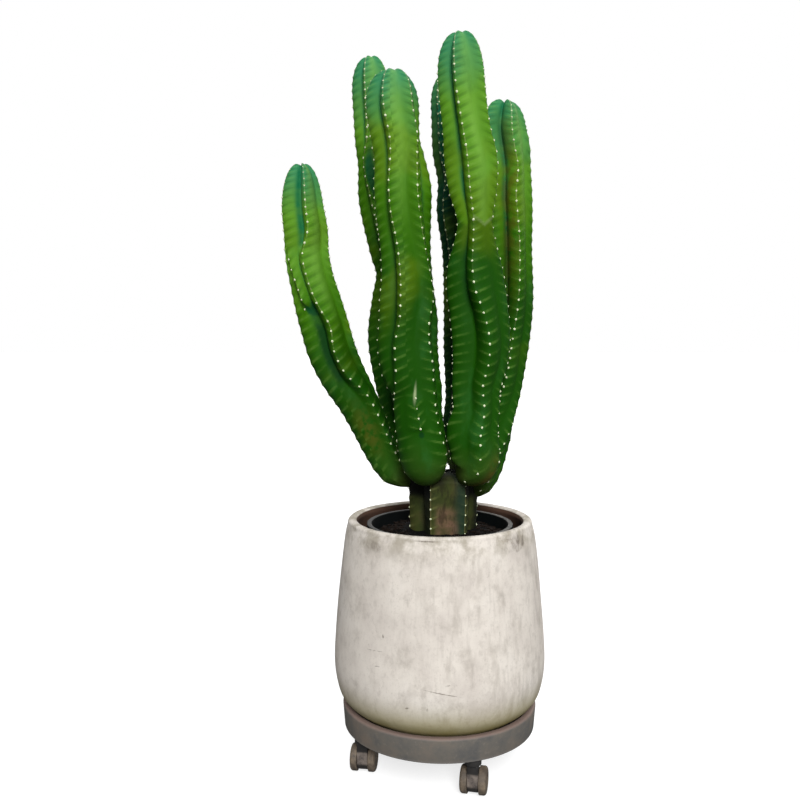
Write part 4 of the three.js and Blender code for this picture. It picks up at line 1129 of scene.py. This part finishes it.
# The planter's stains, scuffs, pits and hairline cracks in front, in metres: how far right and how high
# each one is, its half width and half height, its tilt and its strength.
PLANTER_MARKS = [
    (-0.077, 0.447, 0.024, 0.011, -0.2, 0.4), (0.016, 0.4640, 0.026, 0.0016, 0.0, 0.7),
    (0.180, 0.452, 0.004, 0.013, 0.15, 0.6), (0.190, 0.450, 0.003, 0.012, -0.1, 0.6),
    (0.184, 0.440, 0.010, 0.006, 0.5, 0.5), (0.168, 0.449, 0.024, 0.015, 0.2, 0.4),
    (0.158, 0.458, 0.012, 0.003, -0.1, 0.5), (-0.058, 0.296, 0.0018, 0.0045, 0.0, 0.8),
    (-0.068, 0.242, 0.005, 0.0014, 0.1, 0.7), (-0.016, 0.178, 0.005, 0.002, 0.2, 0.6),
    (0.018, 0.178, 0.0022, 0.004, 0.0, 0.6), (-0.072, 0.268, 0.016, 0.0010, 0.08, 0.6),
    (0.042, 0.208, 0.040, 0.0011, -0.19, 0.7), (0.052, 0.222, 0.006, 0.0014, 0.2, 0.6),
]


def cement():
    wash = Finish("whitewashed_cement")
    across, deep, high = wash.along("XYZ")
    inner, = wash.attributes("inner")
    blotch = wash.noise(9, 4, 0.6)
    cloud = wash.noise(22, 5, 0.65, at=wash.place(shift=(4, 2, 0)))
    streak = wash.noise(30, 4, 0.6, at=wash.place(scale=(1, 1, 0.3)))
    brushed = wash.noise(110, 4, 0.65, at=wash.place(scale=(1, 1, 0.12)))
    dapple = wash.noise(75, 5, 0.7, at=wash.place(shift=(2, 7, 1), scale=(1, 1, 0.6)))
    grain = wash.noise(260, 5, 0.75)
    right, front = across.rise(-0.06, 0.1), deep.rise(-0.02, -0.08)
    spots = []
    for place, level, half_width, half_height, tilt, strength in PLANTER_MARKS:
        aside = (across - place) * (1 / half_width)
        above = (high - level) * (1 / half_height) - (across - place) * (tilt / half_height)
        spot = (aside * aside + above * above).rise(1.0, 0.25) * front
        spots.append((spot * dapple.rise(0.35, 0.6) * strength, 0x5A5146))
    colour = wash.coats(
        wash.ramp(blotch, (0.3, 0xC0B8B0), (0.5, 0xD0C9C0), (0.7, 0xD6D0C8)),
        # streaks, clouds, dapples, brush marks and grain, more of them on the right
        (streak.rise(0.52, 0.7) * (0.1 + right * 0.32), 0x968E84),
        (cloud.rise(0.48, 0.75) * 0.55, 0xA0988F),
        (dapple.rise(0.5, 0.7) * 0.32, 0x9A928A),
        (brushed.rise(0.5, 0.7) * (0.06 + right * 0.2), 0x9A928A),
        (grain.rise(0.52, 0.72) * 0.3, 0x8C847A),
        # stains under the rim and on the foot, and the earthy inside
        (high.rise(0.42, 0.465) * cloud.rise(0.42, 0.6) * 0.6, 0x8A8270),
        (high.rise(0.2, 0.12) * (0.6 + blotch * 0.6), 0x80763F),
        (inner * high.rise(0.3, 0.42), 0x4E382C),
        *spots)
    relief = wash.bump(cloud, 0.002, 0.4)
    relief = wash.bump(brushed, 0.0008, 0.5, relief)
    return wash.surface(base_color=colour, roughness=0.88, specular_ior_level=0.25, normal=relief)


def pot_plastic():
    black = Finish("black_pot_plastic")
    across, high = black.along("XZ")
    dust = black.noise(40, 5, 0.7)
    # a painted highlight on the rim's top, strongest on the right and broken up by the dust
    rim_highlight = (across.rise(0.1, 0.16) * 0.5 + 0.25) * dust.rise(0.3, 0.6)
    colour = black.coats(0x020607, (dust.rise(0.5, 0.8) * 0.25, 0x22231F),
                         (high.rise(0.4595, 0.461) * rim_highlight, 0x625E58))
    return black.surface(base_color=colour, roughness=0.45 + dust * 0.3, specular_ior_level=0.2,
                         normal=black.bump(dust, 0.0004, 0.4))


def caddy_finish():
    grey = Finish("dusty_caddy_plastic")
    high, = grey.along("Z")
    dust = grey.noise(16, 5, 0.65)
    fine = grey.noise(110, 5, 0.7)
    colour = grey.coats(
        grey.ramp(dust, (0.32, 0x4A4A4A), (0.5, 0x5C5852), (0.68, 0x6A6056)),
        # painted highlight on the lip's top, the skirt's pale foot, dust, and painted shade on the underside
        (high.rise(0.1165, 0.1205) * 0.7, 0x7C665E),
        (high.rise(0.081, 0.076) * 0.4, 0x76726E),
        (fine.rise(0.55, 0.7) * 0.3, 0x7E766C),
        (high.rise(0.0748, 0.074) * 0.85, 0x0C0B0B))
    return grey.surface(base_color=colour, roughness=0.62 + fine * 0.2, normal=grey.bump(fine, 0.0004, 0.5))


def housing_finish():
    dark = Finish("dark_housing_plastic")
    high, = dark.along("Z")
    dust = dark.noise(80, 4, 0.7)
    colour = dark.coats(
        dark.ramp(dust, (0.35, 0x443E3B), (0.6, 0x746A62)),  # then darker above and below the axle
        # painted shade: near black toward the top under the caddy, and toward the bottom between the wheels
        (high.rise(0.041, 0.046) * 0.95, 0x0A0909),
        (high.rise(0.023, 0.017) * 0.9, 0x0A0909))
    return dark.surface(base_color=colour, roughness=0.42 + dust * 0.2, normal=dark.bump(dust, 0.0003, 0.4))


def steel():
    pin = Finish("drawn_steel")
    lines = pin.noise(300, 3, at=pin.place(scale=(1, 1, 0.1)))
    colour = pin.ramp(lines, (0.3, 0x9C9C9A), (0.7, 0xC4C4C2))
    return pin.surface(base_color=colour, metallic=1.0, roughness=0.3 + lines * 0.15)


# ---- the whole plant -----------------------------------------------------------------------------

GREENS = (0x164602, 0x3A6E06, 0x548820, 0x307A50)
# stem_back's greens, with the shade of the stems in front of it painted in on its near side
SHADED_GREENS = (0x0A2A10, 0x083C2E, 0x10583F, 0x1E7A5A)
# each skin's last two colours are the painted shade of its deep valleys, low and high on the stem
SKIN = stem_skin("waxy_green_skin", GREENS, 0x04320E, 0x0E6440)
SHADED_SKIN = stem_skin("shaded_green_skin", SHADED_GREENS, 0x04261E, 0x04402E, GREENS)
TRUNK_SKIN = trunk_skin()
WOOL = speckled("cream_wool", (900, 4, 0.7), [(0.3, 0xB9C295), (0.65, 0xE6EFD0)], (0.0004, 0.9), 0.95)
SPINE = speckled("horn_spine", (300, 2), [(0.3, 0x8A6A40), (0.7, 0xD8CFA8)])
CEMENT, POT_PLASTIC = cement(), pot_plastic()
SOIL = speckled("potting_soil", (120, 6, 0.75), [(0.35, 0x030303), (0.55, 0x0B0907), (0.72, 0x1C1510)],
                (0.006, 1.0), 1.0, specular_ior_level=0.1)
BARK = speckled("bark_chip", (200, 4), [(0.3, 0x070504), (0.62, 0x1C130D)],
                (0.0008, 0.8), 0.95, specular_ior_level=0.1)
WHEEL = speckled("taupe_wheel_plastic", (60, 5, 0.7), [(0.3, 0x38302A), (0.5, 0x594E42), (0.7, 0x786A58)],
                 (0.0004, 0.5), 0.6, 0.2)
CADDY, HOUSING, STEEL = caddy_finish(), housing_finish(), steel()

camera()
floor()
studio()

random_draw = np.random.default_rng(7)
for name, form in STEMS.items():
    stem = Ribbed(**form)
    finish = {"trunk": TRUNK_SKIN, "stem_back": SHADED_SKIN}.get(name, SKIN)
    shape, values = stem.surface()
    slot = "trunk_skin" if name == "trunk" else "stem_skin"
    piece(name + "_skin", shape, finish, slot, [name], values=values)
    areole_pads(name, stem, random_draw)

planter()
nursery_pot()
soil()
bark_chips(random_draw)
plant_caddy()
for joint_name in joints:
    if joint_name.endswith("_turn"):
        caster(joint_name.split("_")[1])
for name, node in frame["nodes"].items():
    if not node.hide_render:
        node.data.materials.clear()
        node.data.materials.append(STEEL.material)
